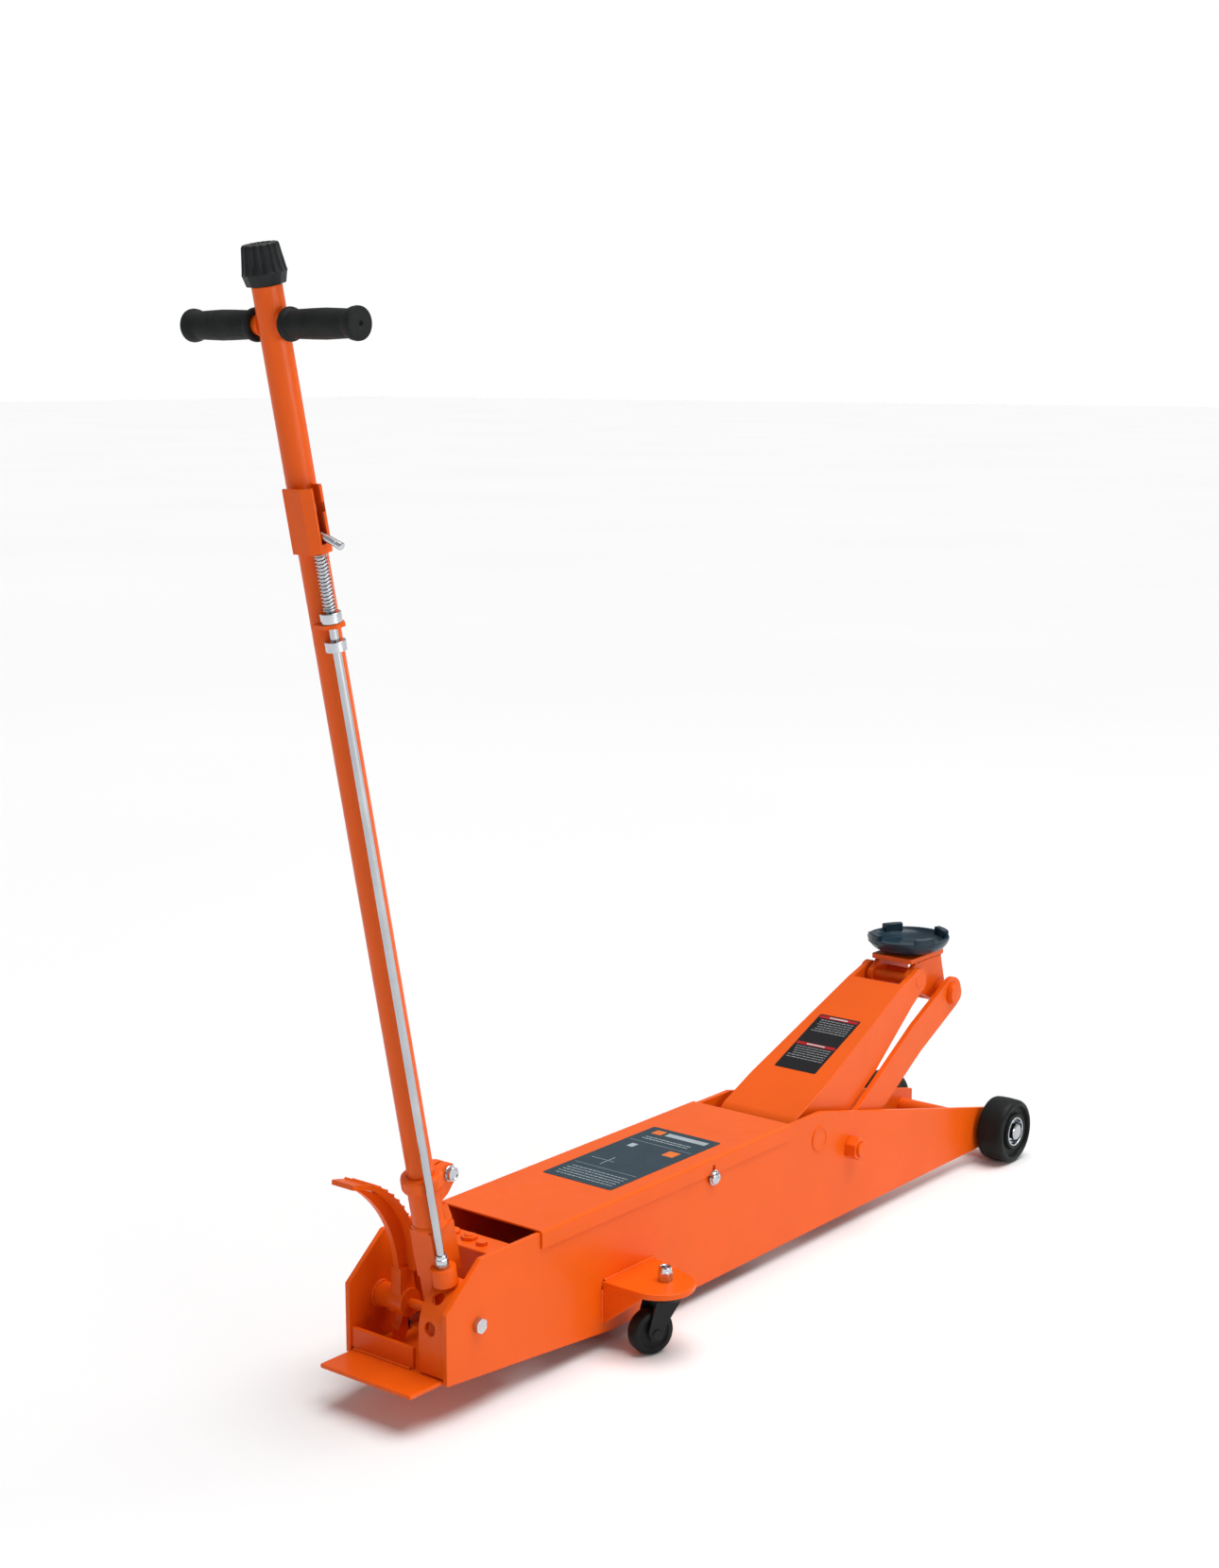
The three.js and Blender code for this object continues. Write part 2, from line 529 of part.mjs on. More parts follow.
function handleYoke() {
  const socket = join(rodZ(SOCKET.r, 0, 0, SOCKET.s0 - 1, SOCKET.s1, FINE),
    rodZ(SOCKET.ringR, 0, 0, SOCKET.ringS, SOCKET.s1, FINE));
  const block = box(-17, 24, -17, 17, BOSS.s0, SOCKET.s0);
  const shoulder = slab([[14, SOCKET.s0 - 2], [24, SOCKET.s0 - 2], [24, SOCKET.s0 + 6],
    [20, SOCKET.s0 + 24], [12, SOCKET.s0 + 24]], -15, 15);
  const ear = slab([[14, 150], [26, 154], [42, 166], [42, 186], [34, 190], [14, 190]], -13, 13);
  const slit = box(14, 60, -1.5, 1.5, 148, 195);
  const web = box(-14, 16, -2, 17, 0, BOSS.s0 + 1);
  const hub = rodY(14, 0, 0, -12, 17);
  const toe = tongueAt(THREE.MathUtils.radToDeg(HANDLE_TILT) + TONGUE.lean);
  const tongue = join(capsule([0, 0], toe, 5, -2, 17), rodY(TONGUE.roller, ...toe, -2, 17));
  const boss = rodZ(BOSS.r, ROD.x, ROD.y, BOSS.s0, BOSS.s1, FINE);
  return cut(join(socket, block, shoulder, ear, web, hub, tongue, boss),
    rodZ(TUBE.r + GAP, 0, 0, TUBE.s0 - GAP, SOCKET.s1 + 1, FINE),
    rodZ(4 + GAP, 0, 0, BOSS.s0 + 20, TUBE.s0),
    rodZ(8 + GAP, ROD.x, ROD.y, BOSS.s0 - 1, SOCKET.s0 + 3),
    rodZ(ROD.r + GAP, ROD.x, ROD.y, SOCKET.s0, SOCKET.s1 + 1),
    rodY(PIVOT.r + GAP, 0, 0, -20, 20),
    rodY(5 + GAP, 34, 177, -20, 20), slit);
}

function clampBolt() {
  const heads = SIDES.map(([, sign]) => hexY(16, 34, 177, ...span(sign, 13 + GAP, 20.5)));
  return join(rodY(5, 34, 177, -19, 19), ...heads);
}

function handleTube() {
  return cut(rodZ(TUBE.r, 0, 0, TUBE.s0, TUBE.s1, FINE),
    rodZ(TUBE.bore, 0, 0, TUBE.s0 - 1, TUBE.s1 + 1, FINE));
}

function teeBar(sign) {
  const bar = cut(rodY(TEE.r, 0, TEE_S, ...span(sign, TEE.root - 4, TEE.end)),
    rodY(TEE.r - 2.5, 0, TEE_S, ...span(sign, TEE.root - 5, TEE.end - 3)));
  return cut(bar, rodZ(TUBE.r + GAP, 0, 0, TEE_S - 20, TEE_S + 20, FINE));
}

function grip(sign) {
  const bore = TEE.r + GAP;
  const profile = [
    [bore, 22], [17.5, 22], [18.2, 25], [17.6, 29], [14.8, 31], [15.6, 60], [16, 78], [15.2, 100],
    [14.6, 112], [17, 118], [17.8, 122], [17.4, 126], [3, 127], [3, TEE.end + GAP], [bore, TEE.end + GAP],
    [bore, 22],
  ];
  const g = new THREE.LatheGeometry(profile.map(([a, b]) => new THREE.Vector2(a, b)), FINE);
  if (sign < 0) g.rotateX(Math.PI);
  g.translate(0, 0, TEE_S);
  return solid(g);
}

function latchBracket() {
  const { s0, s1 } = LATCH;
  const outer = deck([[-27, 2], [-27, -24], [-21, -36], [-5, -36], [2, -28], [2, -17], [-16.4, -2]], s0, s1);
  const inner = deck([[-24.5, 3], [-24.5, -23], [-19.5, -33.5], [-6, -33.5], [-0.5, -27], [-0.5, -16],
    [-10, 3]], s0 + 3, s1 + 1);
  const slot = join(box(ROD.x - 5, ROD.x + 5, -40, -20, s0 + 10, s1 + 1),
    box(ROD.x, ROD.x + 11, -40, -20, 992, 1003));
  return cut(outer, inner, rodZ(TUBE.r + GAP, 0, 0, s0 - 1, s1 + 1, FINE),
    rodZ(ROD.r + GAP, ROD.x, ROD.y, s0 - 1, s0 + 4), slot);
}

function rodStrap() {
  const shape = [[-26, -6], [-28, -26], [-20, -38.5], [-7, -38.5], [1, -27], [6, -14]];
  return cut(deck(shape, STRAP_S, STRAP_S + 4.5), rodZ(TUBE.r + GAP, 0, 0, STRAP_S - 1, STRAP_S + 6, FINE),
    rodZ(ROD.r + GAP, ROD.x, ROD.y, STRAP_S - 1, STRAP_S + 6));
}

class Coil extends THREE.Curve {
  constructor(radius, turns, length) {
    super();
    Object.assign(this, { radius, turns, length });
  }

  getPoint(t, target = new THREE.Vector3()) {
    const a = t * this.turns * Math.PI * 2;
    return target.set(this.radius * Math.cos(a), this.radius * Math.sin(a), t * this.length);
  }
}

function lockSpring() {
  const s0 = STRAP_S + 4.5 + GAP + COLLAR.t + 1;
  const wire = new THREE.Shape();
  wire.absarc(0, 0, 0.8, 0, Math.PI * 2, false);
  const turns = 9;
  const path = new Coil(6.3, turns, LATCH.s0 - 2 - s0);
  const g = new THREE.ExtrudeGeometry(wire, {
    steps: turns * 9, extrudePath: path, curveSegments: 3, bevelEnabled: false,
  });
  g.translate(ROD.x, ROD.y, s0 + 0.4);
  return solid(g);
}

const lockRod = () => rodZ(ROD.r, ROD.x, ROD.y, ROD.s0, ROD.s1);

function lockCollar(s0) {
  return cut(rodZ(COLLAR.r, ROD.x, ROD.y, s0, s0 + COLLAR.t),
    rodZ(ROD.r + GAP, ROD.x, ROD.y, s0 - 1, s0 + COLLAR.t + 1));
}

function lockLever() {
  const g = new THREE.CylinderGeometry(3.9, 3.9, 30, 14);
  g.rotateZ(Math.PI);
  g.translate(0, -15 - ROD.r - 2.2, 0);
  g.rotateX(THREE.MathUtils.degToRad(22));
  g.translate(ROD.x, ROD.y, 971);
  return solid(g);
}

function lockFerrule() {
  const body = join(rodZ(8, ROD.x, ROD.y, BOSS.s0 + 0.2, 91), rodZ(6.8, ROD.x, ROD.y, 90, 96));
  return cut(body, rodZ(ROD.r + GAP, ROD.x, ROD.y, ROD.s0 - GAP, 97));
}

function releaseKnob() {
  const { s0, s1, low, wide, top } = KNOB;
  const kink = s0 + (s1 - s0) * 0.28;
  const body = turned([[0, s0], [low, s0], [wide, kink - 2], [wide, kink], [top, s1 - 1.5],
    [top - 2, s1], [0, s1]]);
  return cut(body, rodZ(6 + GAP, 0, 0, s0 - 1, s0 + 20));
}

const releaseRod = () => rodZ(6, 0, 0, BOSS.s0 + 68, KNOB.s0 + 19);

// ---------------------------------------------------------------- pedal and plungers
function footPedal() {
  const { y, half, cx, cz, r, t, tipAngle, tooth } = PEDAL;
  const tip = THREE.MathUtils.degToRad(tipAngle);
  const curve = new THREE.Shape();
  curve.absarc(cx, cz, r, -0.1, tip, false);
  curve.absarc(cx, cz, r - t, tip, -0.1, true);
  const tread = slab(curve, y - half, y + half);
  const free = rodY(RIB.r, RIB.cx, RIB.cz, y - 5, y + 5, 96);
  const rib = cut(slab([[cx, cz - 30], [cx + r - 2, cz - 30], [cx + r - 2, cz], [cx + r - 14, cz + 50],
    [cx + r - 44, cz + 90], [cx + 30, cz + r - 8]], y - 4, y + 4), free);
  const stem = slab([[RIB.cx + RIB.r - 1, cz - 8], [cx + r - 1, cz - 8], [PIVOT.x + 15, PIVOT.z + 6],
    [PIVOT.x - 14, PIVOT.z + 6]], y - 8, y + 8);
  const hub = rodY(18, PIVOT.x, PIVOT.z, y - 12, y + 12);
  const [dx, dz] = tongueAt(TONGUE.pedalLean);
  const tongue = join(capsule([PIVOT.x, PIVOT.z], [PIVOT.x + dx * 1.3, PIVOT.z + dz * 1.3], 6, y - 6, y + 6),
    rodY(TONGUE.roller, PIVOT.x + dx, PIVOT.z + dz, y - 6, y + 6));
  const teeth = [];
  for (let deg = 24; deg < tipAngle - 6; deg += 6) {
    const shape = slab([[r - 2, -3], [r + tooth, 0], [r - 2, 3]], y - half, y + half);
    teeth.push(shape.rotate([0, -deg, 0]).translate([cx, 0, cz]));
  }
  return cut(join(tread, rib, stem, hub, tongue, ...teeth),
    rodY(PIVOT.r + GAP, PIVOT.x, PIVOT.z, y - 20, y + 20));
}

function plunger(y, contactX) {
  const head = rodX(9, y, PLUNGER_Z, contactX, contactX + 5);
  return join(head, rodX(7, y, PLUNGER_Z, contactX + 4, contactX + 48));
}

// ---------------------------------------------------------------- assembly
for (const [side, sign] of SIDES) {
  add(`side_plate_${side}`, sidePlate(sign), 'orange');
  add(`cover_screw_${side}`, coverScrew(sign), 'zinc');
  add(`link_bolt_${side}`, linkBolt(sign), 'orange');
  add(`caster_bracket_${side}`, casterBracket(sign), 'orange');
  add(`caster_nut_${side}`, casterNut(sign), 'zinc');
  add(`caster_fork_${side}`, casterFork(sign), 'black');
  add(`caster_wheel_${side}`, casterWheel(sign), 'black');
  add(`front_wheel_${side}`, frontWheel(sign), 'black');
  add(`wheel_bearing_${side}`, wheelBearing(sign), 'zinc');
  add(`lift_link_${side}`, liftLink(sign), 'orange');
  add(`tee_bar_${side}`, teeBar(sign), 'orange', handleFrame);
  add(`grip_${side}`, grip(sign), 'grip', handleFrame);
}

add('foot_plate', footPlate(), 'orange');
add('top_cover', topCover(), 'orange');
add('front_cross_plate', crossPlate(1278, 1284, 24, 52), 'orange');
add('ram_mount_plate', ramMount(), 'orange');
add('pump_block', pumpBlock(), 'orange');
add('ram_cylinder', ramCylinder(), 'orange');
add('lock_quadrant', lockQuadrant(), 'orange');
add('pivot_bolt', pivotBolt(), 'zinc');
add('pedal_spacer', pedalSpacer(), 'orange');
add('arm_pivot_shaft', armShaft(), 'orange');
add('front_axle', frontAxle(), 'steel');

add('lift_arm', liftArm(), 'orange');
add('arm_tip_pin', armTipPin(), 'steel');
add('saddle_bracket', saddleBracket(), 'orange');
add('link_pin', linkPin(), 'orange');
add('saddle', saddle(), 'saddle');
add('piston_rod', pistonRod(), 'steel');
add('crosshead', crosshead(), 'orange');
add('con_link', conLink(), 'orange');

add('handle_yoke', handleYoke(), 'orange', handleFrame);
add('clamp_bolt', clampBolt(), 'zinc', handleFrame);
add('handle_tube', handleTube(), 'orange', handleFrame);
add('latch_bracket', latchBracket(), 'orange', handleFrame);
add('rod_strap', rodStrap(), 'orange', handleFrame);
add('lock_spring', lockSpring(), 'zinc', handleFrame);
add('lock_rod', lockRod(), 'steel', handleFrame);
add('lock_collar_upper', lockCollar(STRAP_S + 4.5 + GAP), 'zinc', handleFrame);
add('lock_collar_lower', lockCollar(STRAP_S - GAP - LOCK_TRAVEL - COLLAR.t), 'zinc', handleFrame);
add('lock_lever', lockLever(), 'zinc', handleFrame);
add('lock_ferrule', lockFerrule(), 'zinc', handleFrame);
add('release_knob', releaseKnob(), 'black', handleFrame);
add('release_rod', releaseRod(), 'steel', handleFrame);

add('foot_pedal', footPedal(), 'orange');
add('hand_plunger', plunger(HANDLE_Y + 7.5, 54.2), 'steel');
add('foot_plunger', plunger(PEDAL.y, 58.2), 'steel');

// The origin becomes the centre of the footprint, on the floor.
const bounds = new THREE.Box3().setFromObject(jack, true);
const centre = bounds.getCenter(new THREE.Vector3());
jack.position.set(-centre.x, -centre.y, -bounds.min.z);

export default jack;
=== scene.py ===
"""A long-chassis hydraulic floor jack, finished for close views.

Shapes are worked out in millimetres: x runs forward from the rear end of the side plates, y to the
left of the mid-plane, z up from the floor. They are moved into the model's own frame as they are made.
"""

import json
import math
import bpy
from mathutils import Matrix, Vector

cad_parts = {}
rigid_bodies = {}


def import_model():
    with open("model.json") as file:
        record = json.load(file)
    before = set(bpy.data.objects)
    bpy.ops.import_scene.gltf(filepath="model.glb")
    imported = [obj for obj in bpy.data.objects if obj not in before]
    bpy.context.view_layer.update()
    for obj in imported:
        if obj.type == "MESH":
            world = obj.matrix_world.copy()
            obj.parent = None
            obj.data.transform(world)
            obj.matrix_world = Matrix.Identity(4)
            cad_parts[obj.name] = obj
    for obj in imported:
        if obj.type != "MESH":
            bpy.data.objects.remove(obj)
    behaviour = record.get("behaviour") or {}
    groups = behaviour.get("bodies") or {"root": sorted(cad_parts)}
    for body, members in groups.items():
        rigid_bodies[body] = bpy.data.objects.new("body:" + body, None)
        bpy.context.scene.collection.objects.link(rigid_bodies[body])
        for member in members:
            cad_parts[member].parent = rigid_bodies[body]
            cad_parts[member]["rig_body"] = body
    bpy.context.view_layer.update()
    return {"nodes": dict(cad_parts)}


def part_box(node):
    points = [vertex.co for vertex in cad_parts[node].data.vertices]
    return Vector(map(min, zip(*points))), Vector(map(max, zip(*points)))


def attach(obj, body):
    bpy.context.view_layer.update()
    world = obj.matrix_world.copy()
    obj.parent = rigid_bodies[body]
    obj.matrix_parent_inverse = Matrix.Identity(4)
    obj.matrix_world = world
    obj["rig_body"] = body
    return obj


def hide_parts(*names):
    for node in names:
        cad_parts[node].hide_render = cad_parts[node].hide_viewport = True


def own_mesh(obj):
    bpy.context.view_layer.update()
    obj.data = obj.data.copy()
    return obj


bl_info = {
    "name": "Floor Jack Finish",
    "version": (1, 0, 0),
    "blender": (4, 5, 0),
    "location": "View3D > Sidebar > Floor Jack",
    "description": "Rounded sheet metal, turned parts and paint for a hydraulic floor jack",
    "category": "Object",
}

import bmesh
import bpy
import numpy as np
from mathutils.geometry import tessellate_polygon

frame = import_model()
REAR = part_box("side_plate_left")[0].x

# ------------------------------------------------------------------ sizes shared by several pieces
HALF_WIDTH = 83.2
PLATE_IN = 76.2
PIVOT = (55.0, 110.5)
HANDLE_Y = -30.0
HANDLE_TILT = math.radians(11.7)
LOCK_ROD = (-13.5, -25.0)
ARM_PIVOT = (778.0, 152.0)
ARM_TIP = (1098.0, 310.0)
ARM_LENGTH = math.hypot(320.0, 158.0)
ARM_ANGLE = math.atan2(158.0, 320.0)
LINK_LOW = (860.0, 119.0)
LINK_TOP = (1180.0, 277.0)
WHEEL = (1256.0, 50.0)
CASTER = (342.0, 143.0)
CASTER_TURN = math.radians(-160)
CASTER_AXLE = (22, 0, 30)
COVER_SCREW = (522.5, 166)
RAM_AXIS = (0, 0, 88)
CLAMP_AXIS = (34, 0, 177)
GRIP_AXIS = (0, 0, 1188.6)
ARM_PANEL = (86.0, 217.0, -33.5, 38.0)
VIEW_FROM = (-0.779, -0.627, 0.0)
SIDES = (("left", 1), ("right", -1))


# ------------------------------------------------------------------ settings
class JackPaint(bpy.types.PropertyGroup):
    """Colours of the jack's finishes."""

    orange: bpy.props.FloatVectorProperty(
        name="Powder coat", description="Colour of the painted steel", subtype="COLOR",
        size=3, min=0, max=1, default=(0.84, 0.108, 0.003))
    saddle: bpy.props.FloatVectorProperty(
        name="Saddle paint", description="Colour of the cast saddle", subtype="COLOR",
        size=3, min=0, max=1, default=(0.0045, 0.020, 0.033))
    plastic: bpy.props.FloatVectorProperty(
        name="Wheel and knob plastic", description="Colour of the moulded black parts", subtype="COLOR",
        size=3, min=0, max=1, default=(0.0085, 0.0098, 0.0096))
    cover_label: bpy.props.FloatVectorProperty(
        name="Cover panel", description="Ground colour of the panel on the cover", subtype="COLOR",
        size=3, min=0, max=1, default=(0.019, 0.042, 0.060))


class JackSizes(bpy.types.PropertyGroup):
    """Sizes that change the look but not the fit."""

    edge: bpy.props.FloatProperty(
        name="Eased edge", description="Radius on the cut edges of plates, in millimetres",
        default=0.9, min=0.2, max=2.0)
    bend: bpy.props.FloatProperty(
        name="Bend radius", description="Outer radius of the folds in sheet metal, in millimetres",
        default=4.5, min=1.0, max=7.0)
    bead: bpy.props.FloatProperty(
        name="Weld bead", description="Radius of a weld bead, in millimetres",
        default=2.4, min=0.5, max=4.0)
    flutes: bpy.props.IntProperty(
        name="Knob flutes", description="Grooves around the release knob", default=16, min=6, max=40)
    coils: bpy.props.IntProperty(
        name="Spring turns", description="Turns of the lock spring", default=17, min=5, max=24)
    facets: bpy.props.IntProperty(
        name="Facets", description="Facets around a turned part", default=64, min=24, max=128)


def sizes():
    """The sizes set in the sidebar."""
    return bpy.context.scene.jack_sizes


def paint():
    """The colours set in the sidebar."""
    return bpy.context.scene.jack_paint


# ------------------------------------------------------------------ surfaces
ORDER = {"x": (2, 0, 1), "y": (1, 2, 0), "z": (0, 1, 2)}
PLANES = {"xz": (0, 2, 1), "xy": (0, 1, 2), "yz": (2, 0, 1)}


def lattice(points, wrap_rows=False, wrap_cols=False):
    """A grid of points joined into four-sided faces, each between two neighbouring rows and columns."""
    rows, cols = points.shape[:2]
    index = np.arange(rows * cols).reshape(rows, cols)
    if wrap_rows:
        index = np.concatenate([index, index[:1]])
    if wrap_cols:
        index = np.concatenate([index, index[:, :1]], axis=1)
    corners = index[:-1, :-1], index[:-1, 1:], index[1:, 1:], index[1:, :-1]
    return points.reshape(-1, 3), np.stack(corners, -1).reshape(-1, 4).tolist()


def together(*shapes):
    """Several shapes as one: the points follow each other, and the faces are numbered on."""
    counts = np.cumsum([0] + [len(points) for points, _ in shapes])
    faces = [[i + start for i in face] for (_, fs), start in zip(shapes, counts) for face in fs]
    return np.concatenate([points for points, _ in shapes]), faces


def turned(profile, axis="z", centre=(0, 0, 0), flats=0.0, ring=False, wave=None, facets=None):
    """A profile of (radius, height) turned about an axis: r cos a, r sin a and the height.

    With flats, the radius is at most that of a hexagon, (flats / 2) / cos(angle from the middle of a flat).
    wave scales the radius by a function of the angle and the height. A ring's last row joins its first.
    """
    profile = np.asarray(profile, float)
    facets = facets or sizes().facets
    angle = np.linspace(0, 2 * np.pi, facets, endpoint=False)
    radius = np.repeat(profile[:, :1], facets, axis=1)
    height = np.repeat(profile[:, 1:], facets, axis=1)
    if flats:
        hexagon = flats / 2 / np.cos(np.mod(angle, np.pi / 3) - np.pi / 6)
        radius = np.minimum(radius, hexagon)
    if wave:
        radius = radius * wave(angle, height)
    points = np.stack([radius * np.cos(angle), radius * np.sin(angle), height], -1)
    return lattice(points[..., ORDER[axis]] + np.asarray(centre, float), ring, True)


def arc(centre, radius, start, end, steps=16):
    """Points of a circle from one angle to the other, in degrees."""
    angle = np.radians(np.linspace(start, end, steps + 1))
    return np.stack([centre[0] + radius * np.cos(angle), centre[1] + radius * np.sin(angle)], 1)


def rounded(corners, radius, steps=5, closed=True):
    """Each corner of a line becomes an arc that is tangent to both sides.

    The arc begins radius / tan(half the corner's angle) from the corner, at most 0.45 of the shorter side,
    and its points lie between the two ends by the sines of the parts of its sweep.
    """
    p = np.asarray(corners, float)
    radius = np.broadcast_to(np.asarray(radius, float), len(p)).copy()
    if not closed:
        radius[[0, -1]] = 0
    back, on = np.roll(p, 1, 0) - p, np.roll(p, -1, 0) - p
    long_back, long_on = (np.linalg.norm(v, axis=1, keepdims=True) for v in (back, on))
    back, on = back / long_back, on / long_on
    reach = 0.45 * np.minimum(long_back, long_on)[:, 0]
    half = np.arccos(np.clip((back * on).sum(1), -0.99999, 0.99999)) / 2
    cut = np.minimum(radius / np.tan(half), reach)
    toward = back + on
    toward /= np.maximum(np.linalg.norm(toward, axis=1, keepdims=True), 1e-9)
    middle = p + toward * (cut * np.tan(half) / np.sin(half))[:, None]
    start, end = p + back * cut[:, None] - middle, p + on * cut[:, None] - middle
    sweep = (np.pi - 2 * half)[None, :, None]
    t = np.linspace(0, 1, steps + 1)[:, None, None]
    line = middle + (np.sin((1 - t) * sweep) * start + np.sin(t * sweep) * end) / np.sin(sweep)
    line = line.transpose(1, 0, 2).reshape(-1, 2)
    gap = np.linalg.norm(line - np.roll(line, 1, 0), axis=1)
    keep = gap > 1e-4
    if not closed:
        keep[0] = True
    return line[keep]


def wound(outline, left):
    """An outline running counter-clockwise, or clockwise where left is false, by the sign of its area."""
    x, y = outline.T
    area = (x * np.roll(y, -1) - y * np.roll(x, -1)).sum()
    return outline if (area > 0) == left else outline[::-1]


def drawn_in(outline, distance):
    """An outline moved to its left: each point goes along its two sides' normals, more at a sharp corner."""
    side = np.roll(outline, -1, 0) - outline
    side /= np.linalg.norm(side, axis=1)[:, None]
    normal = np.stack([-side[:, 1], side[:, 0]], 1)
    before = np.roll(normal, 1, 0)
    return outline + distance * (normal + before) / (1 + (normal * before).sum(1))[:, None]


def plate(outline, low, high, plane="xz", edge=None, holes=(), steps=3):
    """A flat plate with eased edges: its outline goes from one face to the other, drawn in by
    edge * (1 - sin t) at a depth of edge * (1 - cos t) beside each face. The faces are filled around
    the holes."""
    edge = sizes().edge if edge is None else edge
    edge = min(edge, (high - low) * 0.45)
    t = np.linspace(0, np.pi / 2, steps + 1)
    inset, depth = edge * (1 - np.sin(t)), edge * (1 - np.cos(t))
    insets = np.concatenate([inset, inset[::-1]])
    depths = np.concatenate([low + depth, high - depth[::-1]])
    loops = [wound(np.asarray(outline, float), True)] + [wound(np.asarray(h, float), False) for h in holes]

    def lift(flat, level):
        level = np.broadcast_to(np.asarray(level)[..., None], flat.shape[:-1] + (1,))
        return np.concatenate([flat, level], -1)[..., PLANES[plane]]

    shapes = []
    for loop in loops:
        rows = np.stack([drawn_in(loop, d) for d in insets])
        shapes.append(lattice(lift(rows, np.repeat(depths[:, None], len(loop), 1)), wrap_cols=True))
    rims = [drawn_in(loop, insets[0]) for loop in loops]
    triangles = [list(t) for t in tessellate_polygon([[(*p, 0.0) for p in rim] for rim in rims])]
    flat = np.concatenate(rims)
    for level in (low, high):
        shapes.append((lift(flat, np.full(len(flat), level)), triangles))
    return together(*shapes)


def across(at):
    """The point of the mid-plane at an x and a z, through which an axle runs along y."""
    return at[0], 0, at[1]


def sided(rows, sign):
    """A profile with its heights turned to the left (sign 1) or to the right (sign -1)."""
    return [(r, sign * h) for r, h in rows]


def circle(centre, radius, facets=48):
    """A closed round outline."""
    return arc(centre, radius, 0, 360, facets)[:-1]


def carried(path, radius, up=(0, 0, 1), facets=14, loop=False, squash=1.0):
    """A round section carried along a path: each point is the path's plus radius times cos a along the
    side and sin a along the path's own upward normal. Open ends draw in to a point."""
    path = np.asarray(path, float)
    radius = np.broadcast_to(np.asarray(radius, float), len(path)).copy()
    if not loop:
        path = np.concatenate([path[:1], path, path[-1:]])
        radius = np.concatenate([[0], radius, [0]])
    step = np.roll(path, -1, 0) - np.roll(path, 1, 0) if loop else np.gradient(path, axis=0)
    step /= np.linalg.norm(step, axis=1)[:, None]
    side = np.cross(step, np.broadcast_to(np.asarray(up, float), step.shape))
    side /= np.linalg.norm(side, axis=1)[:, None]
    over = np.cross(side, step)
    angle = np.linspace(0, 2 * np.pi, facets, endpoint=False)[None, :, None]
    ring = side[:, None] * np.cos(angle) + squash * over[:, None] * np.sin(angle)
    return lattice(path[:, None] + ring * radius[:, None, None], loop, True)


def bead_path(points, pitch=1.6):
    """Evenly spaced points along straight runs between the given points."""
    points = np.asarray(points, float)
    run = np.concatenate([[0], np.cumsum(np.linalg.norm(np.diff(points, axis=0), axis=1))])
    at = np.linspace(0, run[-1], max(int(run[-1] / pitch), 4))
    return np.stack([np.interp(at, run, points[:, k]) for k in range(3)], 1)


def bead(points, loop=False, size=1.0, up=(0, 0, 1)):
    """A weld bead: a round section along the joint whose radius ripples with every few millimetres."""
    path = bead_path(points)
    if loop:
        path = path[:-1]
    k = np.arange(len(path))
    ripple = 1 + 0.13 * np.sin(k * 2.1) + 0.09 * np.sin(k * 0.53 + 1.0)
    return carried(path, sizes().bead * size * ripple, up, 10, loop)


def ring_bead(centre, radius, axis="y", size=1.0):
    """A weld bead around a round bar."""
    flat = arc((0, 0), radius, 0, 360, 96)
    points = np.concatenate([flat, np.zeros((len(flat), 1))], 1)[:, ORDER[axis]] + np.asarray(centre, float)
    up = np.eye(3)["xyz".index(axis)]
    return bead(points, True, size, up)


# ------------------------------------------------------------------ the moving groups' own frames
def in_handle(points):
    """Handle coordinates, z up the tube, leaned back about the pivot bolt."""
    x, y, z = points.T
    c, s = math.cos(HANDLE_TILT), math.sin(HANDLE_TILT)
    return np.stack([PIVOT[0] + x * c - z * s, HANDLE_Y + y, PIVOT[1] + x * s + z * c], 1)


def along_arm(start):
    """Coordinates along a lift bar, x from its lower pin, raised to the rest angle."""
    def place(points):
        x, y, z = points.T
        c, s = math.cos(ARM_ANGLE), math.sin(ARM_ANGLE)
        return np.stack([start[0] + x * c - z * s, y, start[1] + x * s + z * c], 1)
    return place


def on_caster(sign):
    """Caster coordinates, x along the trail, turned about the swivel stem."""
    def place(points):
        x, y, z = points.T
        c, s = math.cos(CASTER_TURN * sign), math.sin(CASTER_TURN * sign)
        return np.stack([CASTER[0] + x * c - y * s, sign * CASTER[1] + x * s + y * c, z], 1)
    return place


# ------------------------------------------------------------------ meshes
def settle(piece, body, slot, nodes):
    """Gives a piece its material and its body, and hides the CAD nodes that it stands for."""
    bpy.context.scene.collection.objects.link(piece)
    piece.data.materials.clear()
    piece.data.materials.append(finish_of(slot))
    keep = piece.modifiers.new("face_weight", "WEIGHTED_NORMAL")
    keep.keep_sharp = True
    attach(piece, body)
    if nodes:
        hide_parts(*nodes)
    return piece


def smooth(mesh, angle):
    """Smooth faces, with a crease wherever two faces meet at more than the angle."""
    mesh.polygons.foreach_set("use_smooth", np.ones(len(mesh.polygons), bool))
    mesh.set_sharp_from_angle(angle=math.radians(angle))


def publish(name, shape, body, slot, nodes=(), place=None, crease=38):
    """Puts a shape into a mesh, closes its seams and poles, and turns its faces outwards."""
    points, faces = shape
    points = place(points) if place else points
    mesh = bpy.data.meshes.new(name)
    mesh.from_pydata((points / 1000 + (REAR, 0, 0)).tolist(), [], faces)
    work = bmesh.new()
    work.from_mesh(mesh)
    bmesh.ops.remove_doubles(work, verts=work.verts, dist=3e-6)
    bmesh.ops.dissolve_degenerate(work, edges=work.edges, dist=1e-6)
    bmesh.ops.recalc_face_normals(work, faces=work.faces)
    work.to_mesh(mesh)
    work.free()
    smooth(mesh, crease)
    return settle(bpy.data.objects.new(name, mesh), body, slot, nodes)


